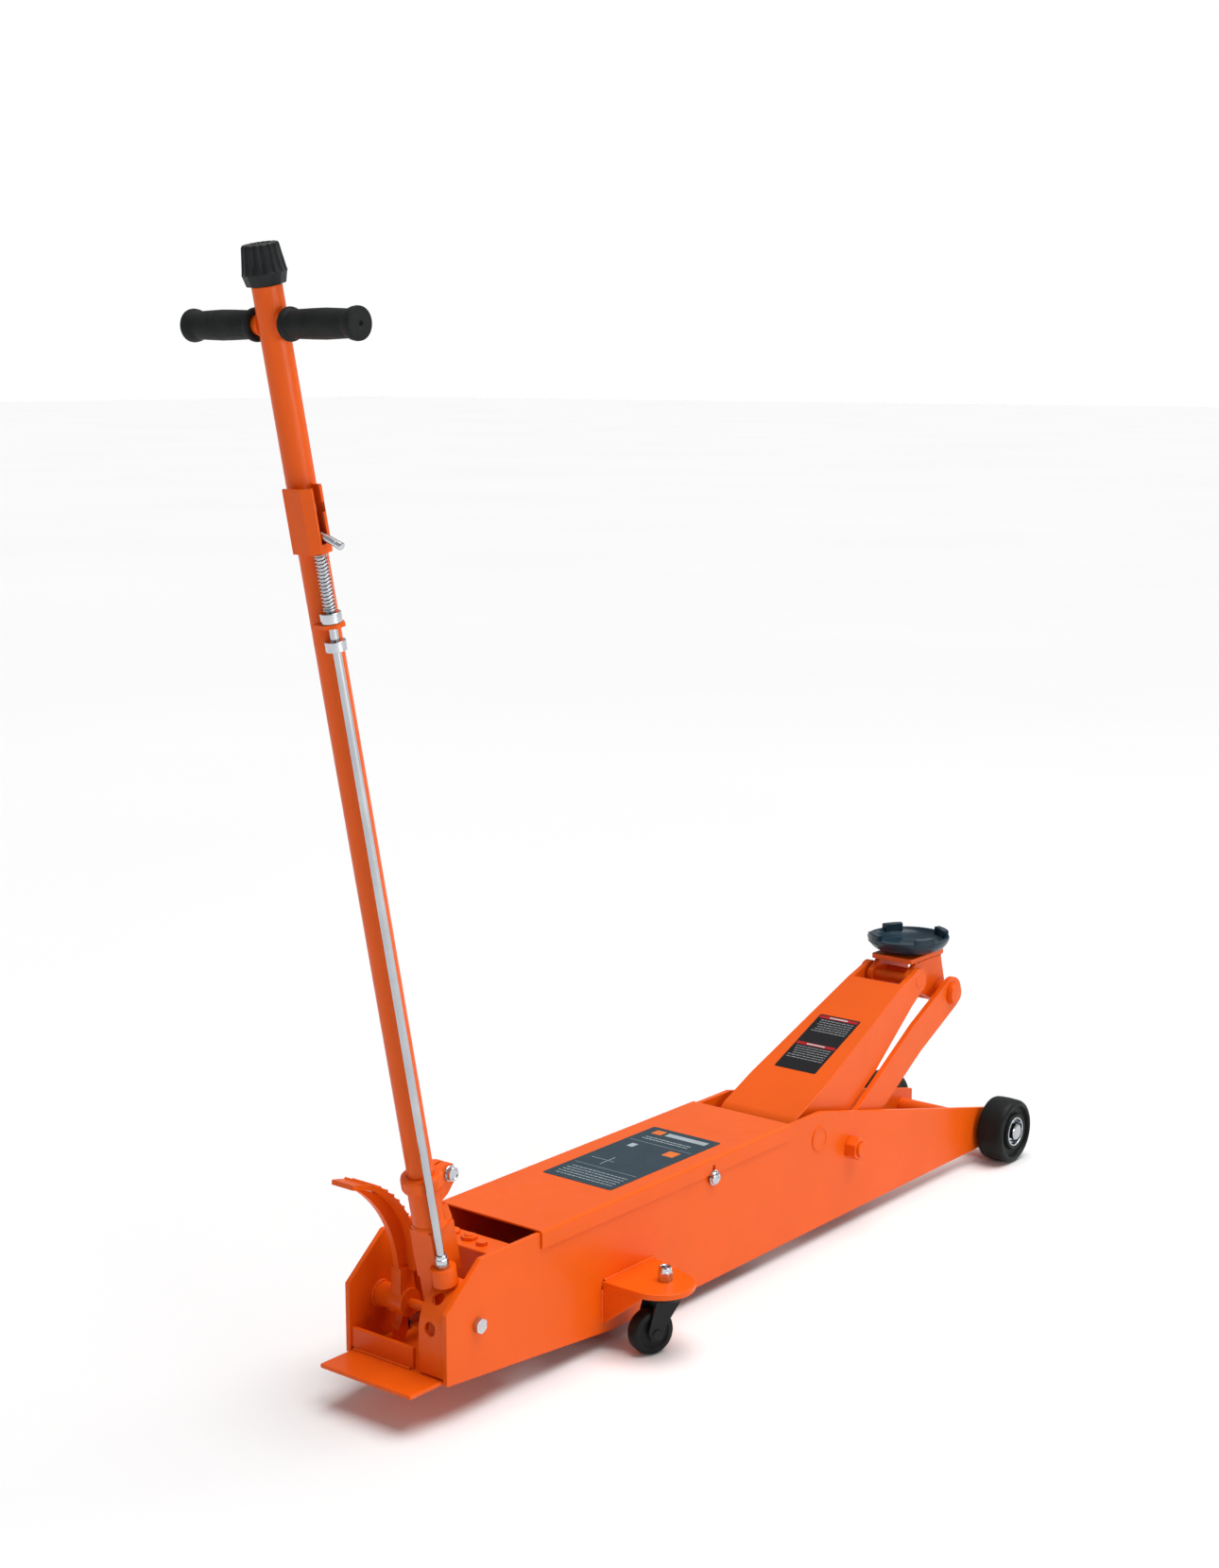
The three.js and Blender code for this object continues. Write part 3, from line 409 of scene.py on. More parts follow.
def eased(node, body, slot, edge=None, steps=2, fold=None, fold_width=4.0):
    """A copy of a flat CAD piece with its faces made whole and its edges eased.

    fold picks the edges of a bend by their two face normals and gets the wider radius.
    """
    edge = sizes().edge if edge is None else edge
    mesh = frame["nodes"][node].data.copy()
    mesh.name = node + "_finish"
    work = bmesh.new()
    work.from_mesh(mesh)
    bmesh.ops.remove_doubles(work, verts=work.verts, dist=2e-5)
    bmesh.ops.dissolve_limit(work, angle_limit=math.radians(0.8), verts=work.verts, edges=work.edges)
    weight = work.edges.layers.float.new("bevel_weight_edge")
    for line in work.edges:
        if len(line.link_faces) == 2:
            angle = line.calc_face_angle_signed(0.0)
            is_fold = fold is not None and fold(line)
            if is_fold:
                line[weight] = 1.0
            elif abs(angle) > math.radians(32):
                line[weight] = edge / (fold_width if fold else edge)
    work.to_mesh(mesh)
    work.free()
    piece = bpy.data.objects.new(node + "_finish", mesh)
    ease = piece.modifiers.new("ease", "BEVEL")
    ease.limit_method = "WEIGHT"
    ease.width = (fold_width if fold else edge) / 1000
    ease.segments = steps
    ease.use_clamp_overlap = True
    smooth(mesh, 32)
    return settle(piece, body, slot, [node])


# ------------------------------------------------------------------ finishes
FINISH = {}


def finish_of(slot):
    """The material of a slot, made the first time that it is asked for."""
    if slot not in FINISH:
        FINISH[slot] = MAKERS[slot]()
    return FINISH[slot]


def coating(name, colour, shade, roughness, spread, metallic=0.0, patch=9.0, grain=900.0, depth=0.00002,
            coat=0.0, stretch=(1, 1, 1), sheen=0.25):
    """A surface whose colour drifts between two tones, with uneven gloss and a fine grain in relief.

    sheen is the share of light that it mirrors straight on, 0.5 being that of plain glass.
    """
    material = bpy.data.materials.new(name)
    material.use_nodes = True
    nodes, links = material.node_tree.nodes, material.node_tree.links
    shader = nodes["Principled BSDF"]
    where = nodes.new("ShaderNodeTexCoord")

    def noise(scale, detail, source):
        texture = nodes.new("ShaderNodeTexNoise")
        texture.inputs["Scale"].default_value = scale
        texture.inputs["Detail"].default_value = detail
        links.new(source, texture.inputs["Vector"])
        return texture.outputs["Fac"]

    turn = nodes.new("ShaderNodeMapping")
    turn.inputs["Scale"].default_value = stretch
    links.new(where.outputs["Object"], turn.inputs["Vector"])
    drift = nodes.new("ShaderNodeMapRange")
    drift.inputs["From Min"].default_value = 0.3
    drift.inputs["From Max"].default_value = 0.7
    links.new(noise(patch, 3, where.outputs["Object"]), drift.inputs["Value"])
    tone = nodes.new("ShaderNodeMix")
    tone.data_type = "RGBA"
    tone.inputs["A"].default_value = (*colour, 1)
    tone.inputs["B"].default_value = (*shade, 1)
    links.new(drift.outputs["Result"], tone.inputs["Factor"])
    links.new(tone.outputs["Result"], shader.inputs["Base Color"])
    gloss = nodes.new("ShaderNodeMapRange")
    gloss.inputs["From Min"].default_value = 0.25
    gloss.inputs["From Max"].default_value = 0.75
    gloss.inputs["To Min"].default_value = roughness - spread
    gloss.inputs["To Max"].default_value = roughness + spread
    links.new(noise(patch * 6, 4, turn.outputs["Vector"]), gloss.inputs["Value"])
    links.new(gloss.outputs["Result"], shader.inputs["Roughness"])
    relief = nodes.new("ShaderNodeBump")
    relief.inputs["Strength"].default_value = 1.0
    relief.inputs["Distance"].default_value = depth
    links.new(noise(grain, 2, turn.outputs["Vector"]), relief.inputs["Height"])
    links.new(relief.outputs["Normal"], shader.inputs["Normal"])
    shader.inputs["Metallic"].default_value = metallic
    shader.inputs["Specular IOR Level"].default_value = sheen
    shader.inputs["Coat Weight"].default_value = coat
    shader.inputs["Coat Roughness"].default_value = 0.12
    return material


def tinted(colour, factor):
    """A colour with each part multiplied by the factor."""
    return tuple(min(1.0, part * factor) for part in colour)


MAKERS = {
    "orange_paint": lambda: coating("powder_coat", tuple(paint().orange), tinted(paint().orange, 0.93),
                                    0.38, 0.05, grain=420, depth=0.00003, coat=0.08, sheen=0.18),
    "zinc_plate": lambda: coating("zinc_plate", (0.62, 0.64, 0.67), (0.50, 0.53, 0.57), 0.17, 0.06, 1.0,
                                  patch=60, grain=1500, depth=0.00001, sheen=0.5),
    "bright_steel": lambda: coating("bright_steel", (0.52, 0.54, 0.56), (0.44, 0.46, 0.49), 0.13, 0.04, 1.0,
                                    patch=25, grain=500, depth=0.00001, stretch=(4, 4, 0.4), sheen=0.5),
    "black_wheel": lambda: coating("moulded_black", tuple(paint().plastic), tinted(paint().plastic, 1.6),
                                   0.42, 0.07, patch=30, grain=1200, depth=0.00003, sheen=0.12),
    "black_paint": lambda: coating("black_enamel", (0.010, 0.011, 0.012), (0.018, 0.019, 0.020), 0.38, 0.06,
                                   patch=30, grain=500, depth=0.00003, coat=0.08, sheen=0.12),
    "grip_rubber": lambda: coating("grip_rubber", (0.010, 0.012, 0.012), (0.017, 0.019, 0.019), 0.62, 0.08,
                                   patch=40, grain=2600, depth=0.00008, sheen=0.14),
    "knob_plastic": lambda: coating("knob_plastic", (0.011, 0.013, 0.014), (0.018, 0.020, 0.021), 0.34, 0.06,
                                    patch=40, grain=1600, depth=0.00002, sheen=0.2),
    "saddle_paint": lambda: coating("cast_blue_grey", tuple(paint().saddle), tinted(paint().saddle, 1.35),
                                    0.34, 0.07, patch=28, grain=260, depth=0.00022, coat=0.15),
}


# ------------------------------------------------------------------ chassis
def side_plates():
    """Two plates: a six-cornered outline with rounded corners, carried from face to face along y."""
    outline = rounded([(0, 50.5), (309, 20.5), (1288.5, 20.5), (1288.5, 72), (783, 191), (62, 191), (0, 139)],
                      [2, 6, 3, 3, 6, 3, 2])
    holes = [circle(PIVOT, 6.3), circle(ARM_PIVOT, 16.3), circle(LINK_LOW, 10.3), circle(WHEEL, 12.8),
             circle(COVER_SCREW, 3.3, 24)]
    for side, sign in SIDES:
        low, high = sorted((sign * PLATE_IN, sign * HALF_WIDTH))
        publish(f"painted_side_plate_{side}", plate(outline, low, high, holes=holes), "chassis",
                "orange_paint", [f"side_plate_{side}"])


def foot_plate():
    """A flat tread that runs in under the pump, and the plate that stands on it."""
    tread = plate(rounded([(-53, -74), (100.7, -74), (100.7, 74), (-53, 74)], 1.5), 50.5, 55.5, "xy")
    upstand = plate(rounded([(-25, 52), (75.9, 52), (75.9, 83), (-25, 83)], 1.5), 3, 9, "yz")
    publish("painted_foot_plate", together(tread, upstand), "chassis", "orange_paint", ["foot_plate"])


def top_cover():
    """The folded sheet: a line over the top and down both flanges, carried along x and given its wall."""
    half, low, high, t = HALF_WIDTH + 2.9, 170.9, 193.9, 2.6
    line = rounded([(-half, low), (-half, high), (half, high), (half, low)], sizes().bend, 7, closed=False)
    step = np.array([[-half, 183.0]]), np.array([[half, 183.0]])
    line = np.concatenate([line[:1], step[0], line[1:-1], step[1], line[-1:]])
    stations = np.array([170.0, 346, 520, 525, 613, 702])
    grid = np.empty((len(stations), len(line), 3))
    grid[..., 0] = stations[:, None]
    grid[..., 1:] = line
    points, faces = lattice(grid)
    centre = points[np.array(faces)].mean(1)
    slot = (centre[:, 0] > 520) & (centre[:, 0] < 525) & (centre[:, 2] < 183)
    faces = [face for face, gone in zip(faces, slot) if not gone]
    cover = publish("painted_top_cover", (points, faces), "chassis", "orange_paint", ["top_cover"])
    work = bmesh.new()
    work.from_mesh(cover.data)
    top = max(work.faces, key=lambda f: f.calc_center_median().z)
    if top.normal.z < 0:
        bmesh.ops.reverse_faces(work, faces=work.faces)
    work.to_mesh(cover.data)
    work.free()
    wall = cover.modifiers.new("wall", "SOLIDIFY")
    wall.thickness = t / 1000
    wall.offset = -1
    ease = cover.modifiers.new("ease", "BEVEL")
    ease.width = 0.0004
    ease.segments = 2
    ease.angle_limit = math.radians(60)
    cover.modifiers.move(0, 2)


def cover_screws():
    """Washer heads, (radius, distance from the side plate) turned about y, on thin shanks."""
    profile = [(0, 0), (10.5, 0), (10.8, 0.4), (10.8, 1.3), (10.5, 1.6), (9.2, 1.7), (9.2, 3.6), (8.6, 5.0),
               (7.2, 6.2), (5.0, 6.9), (2.5, 7.1), (2.2, 6.4), (0, 6.4)]
    for side, sign in SIDES:
        head = turned([(r * 0.98, sign * (86.4 + h * 0.92)) for r, h in profile], "y", across(COVER_SCREW))
        shank = turned([(0, sign * 70), (2.1, sign * 70.4), (2.1, sign * 87), (0, sign * 87)], "y",
                       across(COVER_SCREW), facets=24)
        publish(f"bright_cover_screw_{side}", together(head, shank), "chassis", "zinc_plate",
                [f"cover_screw_{side}"])


def inner_works():
    """The pump block, the ram cylinder in its mounting plate, and the front cross plate."""
    block = plate(rounded([(-58, 52), (58, 52), (58, 180), (-58, 180)], 3), 101, 143, "yz", edge=2.0)
    lumps = [turned([(0, 0), (11, 0), (11, 3.6), (10.2, 4.6), (6, 5.2), (6, 6.6), (5, 7), (0, 7)], "z",
                    (124, -8, 179.6), flats=19),
             turned([(0, 0), (9, 0), (9, 3), (7.6, 5), (4, 6.2), (0, 6.6)], "z", (128, 22, 179.6)),
             turned([(0, 0), (7.5, 0), (7.5, 4), (6.5, 5), (0, 5)], "z", (118, -34, 179.6), flats=13)]
    publish("painted_pump_block", together(block, *lumps), "chassis", "orange_paint", ["pump_block"])
    shell = [(0, 143.5), (41, 143.5), (42, 144.5), (42, 566), (43.5, 567), (43.5, 574), (42.5, 575),
             (16.3, 575), (16.3, 290), (0, 290)]
    publish("painted_ram_cylinder", turned(shell, "x", RAM_AXIS), "chassis", "orange_paint",
            ["ram_cylinder"])
    mount = plate(rounded([(-75.9, 30), (75.9, 30), (75.9, 168), (-75.9, 168)], 2), 540, 548, "yz",
                  holes=[circle((0, 88), 42.3, 64)])
    publish("painted_ram_mount", mount, "chassis", "orange_paint", ["ram_mount_plate"])
    cross = plate(rounded([(-75.9, 24), (75.9, 24), (75.9, 52), (-75.9, 52)], 2), 1278, 1284, "yz")
    publish("painted_cross_plate", cross, "chassis", "orange_paint", ["front_cross_plate"])


def quadrant():
    """The lock quadrant: a web against the side plate and a rolled band with two round holes."""
    eased("lock_quadrant", "chassis", "orange_paint", edge=1.0, steps=3)


def pivot_hardware():
    """Flanged hexagons and their shank turned about the handle's pivot, and the pedal's spacer."""
    flange = [(0, 83.5), (10.6, 83.5), (10.8, 84.0), (10.8, 84.9), (10, 85.1), (9.9, 85.3), (9.9, 89.0),
              (9.2, 90.0), (7.8, 90.4), (6.8, 90.1), (0, 90.1)]
    heads = [turned(sided(flange, sign), "y", across(PIVOT), flats=17.4)
             for _, sign in SIDES]
    shaft = turned([(0, -84), (6, -84), (6, 84), (0, 84)], "y", across(PIVOT))
    publish("zinc_pivot_bolt", together(*heads), "chassis", "zinc_plate", ["pivot_bolt"])
    publish("painted_pivot_shank", shaft, "chassis", "orange_paint", ["pivot_bolt"])
    spacer = turned([(6.3, 51), (14, 51), (15, 52), (15, 75), (16, 75.9), (6.3, 75.9)], "y",
                    across(PIVOT), ring=True)
    publish("painted_pedal_spacer", spacer, "chassis", "orange_paint", ["pedal_spacer"])


def link_bolts():
    """Stud, spacer and hexagon nut, turned about the low end of each link."""
    for side, sign in SIDES:
        stud = [(0, 64.8), (9.4, 64.8), (10, 65.4), (10, 103.2), (9, 104.2), (0, 104.2)]
        spacer = [(10.1, 73.1), (16, 73.1), (16, 75.9), (10.1, 75.9)]
        nut = [(10.1, 83.5), (15.8, 83.5), (17.4, 84.3), (17.4, 98.6), (15.6, 100.0), (11.4, 100.2),
               (10.1, 99.2)]
        centre = across(LINK_LOW)
        shapes = together(turned(sided(stud, sign), "y", centre),
                          turned(sided(spacer, sign), "y", centre, ring=True),
                          turned(sided(nut, sign), "y", centre, flats=30, ring=True))
        publish(f"painted_link_bolt_{side}", shapes, "chassis", "orange_paint", [f"link_bolt_{side}"])


def arm_shaft():
    """A plain shaft with chamfered ends, turned about y."""
    profile = [(0, -84), (15, -84), (16, -83), (16, 83), (15, 84), (0, 84)]
    publish("painted_arm_shaft", turned(profile, "y", across(ARM_PIVOT)), "chassis",
            "orange_paint", ["arm_pivot_shaft"])


def chassis_welds():
    """Weld beads where the chassis pieces meet the side plates."""
    beads = []
    for _, sign in SIDES:
        inner, outer = sign * (PLATE_IN - 0.4), sign * (HALF_WIDTH + 0.2)
        beads.append(ring_bead((ARM_PIVOT[0], outer, ARM_PIVOT[1]), 16.6, size=0.75))
        beads.append(bead([(290, outer, 92.2), (395, outer, 92.2)], size=0.9))
        beads.append(bead([(288.6, outer, 36), (288.6, outer, 84)], size=0.8, up=(1, 0, 0)))
        beads.append(bead([(6, inner, 56.5), (6, inner, 82)], size=0.7, up=(1, 0, 0)))
        beads.append(bead([(101, inner * 58 / 76, 60), (101, inner * 58 / 76, 170)], size=0.4, up=(1, 0, 0)))
    beads.append(bead([(2.4, -24, 56.2), (2.4, 74, 56.2)], size=0.8))
    beads.append(ring_bead((PIVOT[0], 75.6, PIVOT[1]), 15.6, size=0.9))
    publish("weld_beads_chassis", together(*beads), "chassis", "orange_paint", crease=60)


# ------------------------------------------------------------------ wheels and casters
def front_wheels():
    """Tyre and bearing ring as closed profiles turned about the axle, and the axle with its sleeve."""
    tyre = [(23.5, 0), (30, 0), (32, 1.5), (36, 2.5), (41, 1), (44.5, 0.6), (47.5, 2.2), (49, 5), (49.6, 10),
            (50, 22), (49.6, 35), (49, 40), (47.6, 43), (45.2, 44.7), (42.5, 45), (40.6, 44.4), (39.4, 42.6),
            (38.6, 39.5), (36.6, 38.4), (31, 38.2), (29.2, 38.8), (28.4, 40.5), (27.9, 43.4), (27.2, 44.6),
            (25.5, 45), (23.5, 44.6)]
    ring = [(12.8, 1.2), (22.4, 1.2), (23.2, 2), (23.2, 43.2), (22.4, 44.2), (20.6, 44.2), (19.9, 43.2),
            (19.5, 31.0), (12.8, 31.0)]
    for side, sign in SIDES:
        centre = (WHEEL[0], sign * 89, WHEEL[1])
        publish(f"moulded_front_wheel_{side}", turned(sided(tyre, sign), "y", centre, ring=True, facets=96),
                f"front_wheel_{side}", "black_wheel", [f"front_wheel_{side}"])
        publish(f"turned_wheel_bearing_{side}", turned(sided(ring, sign), "y", centre, ring=True),
                f"front_wheel_{side}", "zinc_plate", [f"wheel_bearing_{side}"])
    end = 136.5
    half = [(12.5, 83.5), (19, 83.5), (19, 88), (12.5, 88), (12.5, end - 1.6), (11, end - 0.2),
            (9.5, end), (0, end)]
    profile = [(r, -h) for r, h in half[::-1]] + half
    publish("ground_front_axle", turned(profile, "y", across(WHEEL)), "chassis", "bright_steel",
            ["front_axle"])
    sleeve = turned([(12.6, -76), (14, -76), (14, 76), (12.6, 76)], "y", across(WHEEL), ring=True)
    publish("painted_axle_sleeve", sleeve, "chassis", "orange_paint")


def caster_brackets():
    """A shelf whose free end is an arc about the caster, its rib, and the nut and stem through it."""
    nose = (334.0, 141.0)
    outer = arc(nose, 45, math.degrees(math.atan2(16, 42)), 180, 40)
    outline = np.concatenate([[(396.0, 83.5)], outer, [(289.0, 83.5)]])
    gusset = rounded([(83.5, 34), (148, 85), (83.5, 85)], 2)
    for side, sign in SIDES:
        flip = np.array([1, sign])
        top = plate(outline * flip, 84, 92, "xy", edge=1.4,
                    holes=[circle((CASTER[0], sign * CASTER[1]), 6.3)])
        rib = plate(gusset * np.array([sign, 1]), 289, 295, "yz")
        publish(f"painted_caster_bracket_{side}", together(top, rib), "chassis", "orange_paint",
                [f"caster_bracket_{side}"])
        nut = [(5.6, 0), (8.9, 0), (9.8, 0.8), (9.8, 11.0), (9.2, 12.2), (8.5, 12.8), (8.4, 17.4),
               (7.7, 18.6), (6.4, 18.6), (5.6, 17.8)]
        stem = [(0, -15), (5.8, -15), (5.8, 12.4), (5.0, 13.2), (0, 13.2)]
        centre = (CASTER[0], sign * CASTER[1], 92.3)
        shape = together(turned(nut, "z", centre, flats=17.2, ring=True), turned(stem, "z", centre))
        publish(f"zinc_caster_nut_{side}", shape, "chassis", "zinc_plate", [f"caster_nut_{side}"])


def casters():
    """Fork legs as plates, swivel races turned about the stem, and a wheel turned about its axle."""
    leg = rounded([(-20, 75), (22, 75), (34, 34), (29, 21), (14, 22), (10, 36)], [3, 3, 7, 5, 5, 8])
    dish = [(6.3, 83.7), (24.2, 83.7), (25, 82.8), (25, 78.4), (26.2, 76.5), (26.4, 73.4), (25, 71.8),
            (6.3, 71.8)]
    race = [(6.3, 81), (21, 81), (22.5, 79.6), (22.5, 78), (6.3, 78)]
    wheel = [(4.3, -11), (9, -11), (10, -9.6), (19, -9.2), (21, -11), (24.6, -11), (27.8, -9.6), (29.5, -6.4),
             (30, -2.5), (30, 2.5), (29.5, 6.4), (27.8, 9.6), (24.6, 11), (21, 11), (19, 9.2), (10, 9.6),
             (9, 11), (4.3, 11)]
    axle = [(0, -17.5), (6, -17.5), (6.6, -16.6), (6.6, -15), (4, -14.8), (4, 14.8), (6.6, 15), (6.6, 16.6),
            (6, 17.5), (0, 17.5)]
    for side, sign in SIDES:
        legs = [plate(leg, *sorted((k * 13, k * 16)), edge=0.8) for k in (1, -1)]
        fork = together(turned(dish, ring=True), turned(race, ring=True), *legs,
                        turned(axle, "y", CASTER_AXLE, facets=32))
        publish(f"enamel_caster_fork_{side}", fork, f"caster_{side}", "black_paint", [f"caster_fork_{side}"],
                on_caster(sign))
        publish(f"moulded_caster_wheel_{side}", turned(wheel, "y", CASTER_AXLE, ring=True),
                f"caster_wheel_{side}", "black_wheel", [f"caster_wheel_{side}"], on_caster(sign))


# ------------------------------------------------------------------ lift linkage
def lift_arm():
    """The folded arm, with a wide bend between its back and its cheeks."""
    c, s = math.cos(ARM_ANGLE), math.sin(ARM_ANGLE)

    def is_fold(line):
        normals = [face.normal for face in line.link_faces]
        level = [abs(n.y) < 0.4 for n in normals]
        if level[0] == level[1]:
            return False
        spot = (line.verts[0].co + line.verts[1].co) / 2
        x, z = (spot.x - REAR) * 1000 - ARM_PIVOT[0], spot.z * 1000 - ARM_PIVOT[1]
        along, above = x * c + z * s, -x * s + z * c
        back = [n for n, flat in zip(normals, level) if flat][0]
        outward = -back.x * s + back.z * c > 0.2 or (back.x * c + back.z * s < -0.5 and along < -30)
        return outward and above > 10 and along < ARM_LENGTH - 38

    eased("lift_arm", "lift_arm", "orange_paint", steps=4, fold=is_fold, fold_width=5.5)
    pin = [(0, -48.6), (9.2, -48.6), (10, -47.8), (10, 47.8), (9.2, 48.6), (0, 48.6)]
    publish("painted_arm_tip_pin", turned(pin, "y", across(ARM_TIP)), "lift_arm", "orange_paint",
            ["arm_tip_pin"])


def lift_links():
    """The two links, with their edges eased."""
    for side, _ in SIDES:
        eased(f"lift_link_{side}", "links", "orange_paint", edge=0.9, steps=2)


def saddle_head():
    """Cheeks made of arcs about both pins, joined by a top plate, a cross plate and a tube."""
    tip, top = np.array(ARM_TIP), np.array(LINK_TOP)
    cheek = np.concatenate([
        [(1110.0, 336.0), (tip[0] - 15, tip[1] + 9)], arc(tip, 17, 165, 285, 16),
        [(top[0] - 12, top[1] - 13)], arc(top, 17.5, 250, 395, 16), [(1180.0, 336.0)]])
    holes = [circle(ARM_TIP, 10.4), circle(LINK_TOP, 10.4)]
    shapes = [plate(rounded([(1094, -36), (1188, -36), (1188, 36), (1094, 36)], 3), 335, 343, "xy", edge=1.2)]
    for _, sign in SIDES:
        low, high = sorted((sign * 27.5, sign * 35.5))
        shapes.append(plate(cheek, low, high, edge=1.0, holes=holes))
        shapes.append(bead([(1112, sign * 35.8, 334.6), (1178, sign * 35.8, 334.6)], size=0.6))
        shapes.append(ring_bead((LINK_TOP[0], sign * 36, LINK_TOP[1]), 16.8, size=0.7))
    tube = [(10.4, -49.7), (15.9, -49.7), (16.5, -49), (16.5, 49), (15.9, 49.7), (10.4, 49.7)]
    shapes.append(turned(tube, "y", across(LINK_TOP), ring=True))
    shapes.append(plate(rounded([(-27.6, 296), (27.6, 296), (27.6, 318), (-27.6, 318)], 1), 1128, 1134, "yz"))
    publish("painted_saddle_bracket", together(*shapes), "saddle_bracket", "orange_paint", ["saddle_bracket"])
    half = [(10, 61.3), (17.4, 61.3), (17.8, 59.9), (17.4, 58.4), (10, 58.3)]
    head = [(0, 66), (12.5, 66), (14.6, 65.2), (15.5, 63.6), (15.5, 61), (14, 60.6), (0, 60.6)]
    shapes = [turned([(0, -60), (10, -60), (10, 60), (0, 60)], "y", across(LINK_TOP))]
    for _, sign in SIDES:
        centre = across(LINK_TOP)
        shapes.append(turned(sided(half, sign), "y", centre, ring=True))
        shapes.append(turned(sided(head, sign), "y", centre))
    publish("painted_link_pin", together(*shapes), body_of("link_pin"), "orange_paint", ["link_pin"])


def saddle():
    """The cast dish with four lugs on its rim and ribs in its floor."""
    x, rim = 1141.5, 366.7
    profile = [(0, -22), (34, -22), (37, -21.6), (47, -19.4), (54.5, -15.4), (59.6, -9.5), (62, -4.5),
               (62.8, -1.4), (62.4, -0.2), (61.4, 0), (57.6, 0), (56.6, -0.6), (55.4, -3.4), (51, -7),
               (43, -9.6), (38, -11.4), (34, -12.8), (20, -13), (18.6, -12), (16.4, -11.4), (12, -11.4),
               (10.4, -12.6), (0, -12.8)]
    dish = turned(profile, "z", (x, 0, rim), facets=96)
    stem = turned([(0, -42), (8.2, -42), (9, -41), (9, -21), (0, -21)], "z", (x, 0, rim))
    lugs = []
    for turn in (57, 147, 237, 327):
        ring = np.concatenate([arc((x, 0), 62.4, turn - 16, turn + 16, 10),
                               arc((x, 0), 52.5, turn + 16, turn - 16, 10)])
        lugs.append(plate(rounded(ring, 1.2, 2), rim - 8, rim + 7.4, "xy", edge=1.6))
    publish("cast_saddle", together(dish, stem, *lugs), "saddle", "saddle_paint", ["saddle"])


def ram_parts():
    """The rod turned about the ram's axis, and the crosshead and link with their edges eased."""
    rod = [(0, 335), (15, 335), (16, 336), (16, 672), (15, 673.7), (0, 673.7)]
    publish("ground_piston_rod", turned(rod, "x", RAM_AXIS), body_of("piston_rod"), "bright_steel",
            ["piston_rod"])
    eased("crosshead", body_of("crosshead"), "orange_paint", edge=1.2)
    eased("con_link", body_of("con_link"), "orange_paint", edge=0.9)


def body_of(node):
    """The body that a CAD node rides on."""
    return frame["nodes"][node]["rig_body"]


# ------------------------------------------------------------------ handle
def handle_socket():
    """The yoke with a rolled lip, dented by a bell curve of the angle where the lock rod passes."""
    eased("handle_yoke", "handle", "orange_paint", edge=1.4, steps=3)
    lip = rounded([(19.2, 171.8), (23.6, 172.2), (25.2, 176), (25.2, 187), (23.6, 191.0), (18.4, 191.4),
                   (18.4, 171.8)], 2.0, 4)
    rod_side = math.atan2(LOCK_ROD[1], LOCK_ROD[0])

    def dent(angle, height):
        off = np.abs(np.mod(angle - rod_side + np.pi, 2 * np.pi) - np.pi)
        return 1 - 0.09 * np.exp(-(off / 0.42) ** 2) * (height > 171.9)

    foot = rounded([(19.0, 121.2), (21.2, 121.2), (21.6, 124.5), (20.0, 128), (19.0, 128)], 0.8, 3)
    publish("painted_socket_lip", together(turned(lip, ring=True, wave=dent), turned(foot, ring=True)),
            "handle",
            "orange_paint", place=in_handle)
    shapes = []
    for _, sign in SIDES:
        washer = [(5.2, 13.3), (9.6, 13.3), (10, 14), (9.6, 14.8), (5.2, 14.8)]
        head = [(0, 14.8), (8.2, 14.8), (9.3, 15.4), (9.3, 19.2), (8.2, 20.2), (6.4, 20.5), (5.6, 19.6),
                (0, 19.6)]
        centre = CLAMP_AXIS
        shapes.append(turned(sided(washer, sign), "y", centre, ring=True))
        shapes.append(turned(sided(head, sign), "y", centre, flats=16))
    shapes.append(turned([(0, -15), (5, -15), (5, 15), (0, 15)], "y", CLAMP_AXIS))
    publish("zinc_clamp_bolt", together(*shapes), "handle", "zinc_plate", ["clamp_bolt"], in_handle)


def handle_tubes():
    """The long tube turned about the handle, and the crossbars turned about the grips' axis."""
    tube = [(12.5, 124), (16.2, 124), (16.2, 1228.2), (15.6, 1229), (13, 1229), (12.5, 1228.4)]
    publish("painted_handle_tube", turned(tube, ring=True, facets=72), "handle", "orange_paint",
            ["handle_tube"], in_handle)
    for side, sign in SIDES:
        bar = [(8.5, 13), (11, 13), (11, 121.5), (10.5, 122), (8.5, 122)]
        shape = together(turned(sided(bar, sign), "y", GRIP_AXIS, ring=True),
                         ring_bead((0, sign * 15.4, 1188.6), 11.4, size=0.75))
        publish(f"painted_tee_bar_{side}", shape, "handle", "orange_paint", [f"tee_bar_{side}"], in_handle)


def grips():
    """Moulded grips: a flange at each end, a swelling in the middle, and a small hole in the end face."""
    outline = rounded([(11.3, 22), (17.2, 22), (18.2, 25.2), (17.6, 28.6), (15.0, 31.5), (15.9, 60),
                       (16.2, 78), (15.4, 100), (14.9, 111), (17.2, 117.5), (17.9, 122), (17.4, 126.2),
                       (3, 127), (2.4, 124), (0.01, 123.8), (0.01, 122.6), (11.3, 122.3)], 1.6, 3)
    for side, sign in SIDES:
        body = turned(sided(outline, sign), "y", GRIP_AXIS, ring=True, facets=72)
        publish(f"rubber_grip_{side}", body, "handle", "grip_rubber", [f"grip_{side}"], in_handle)


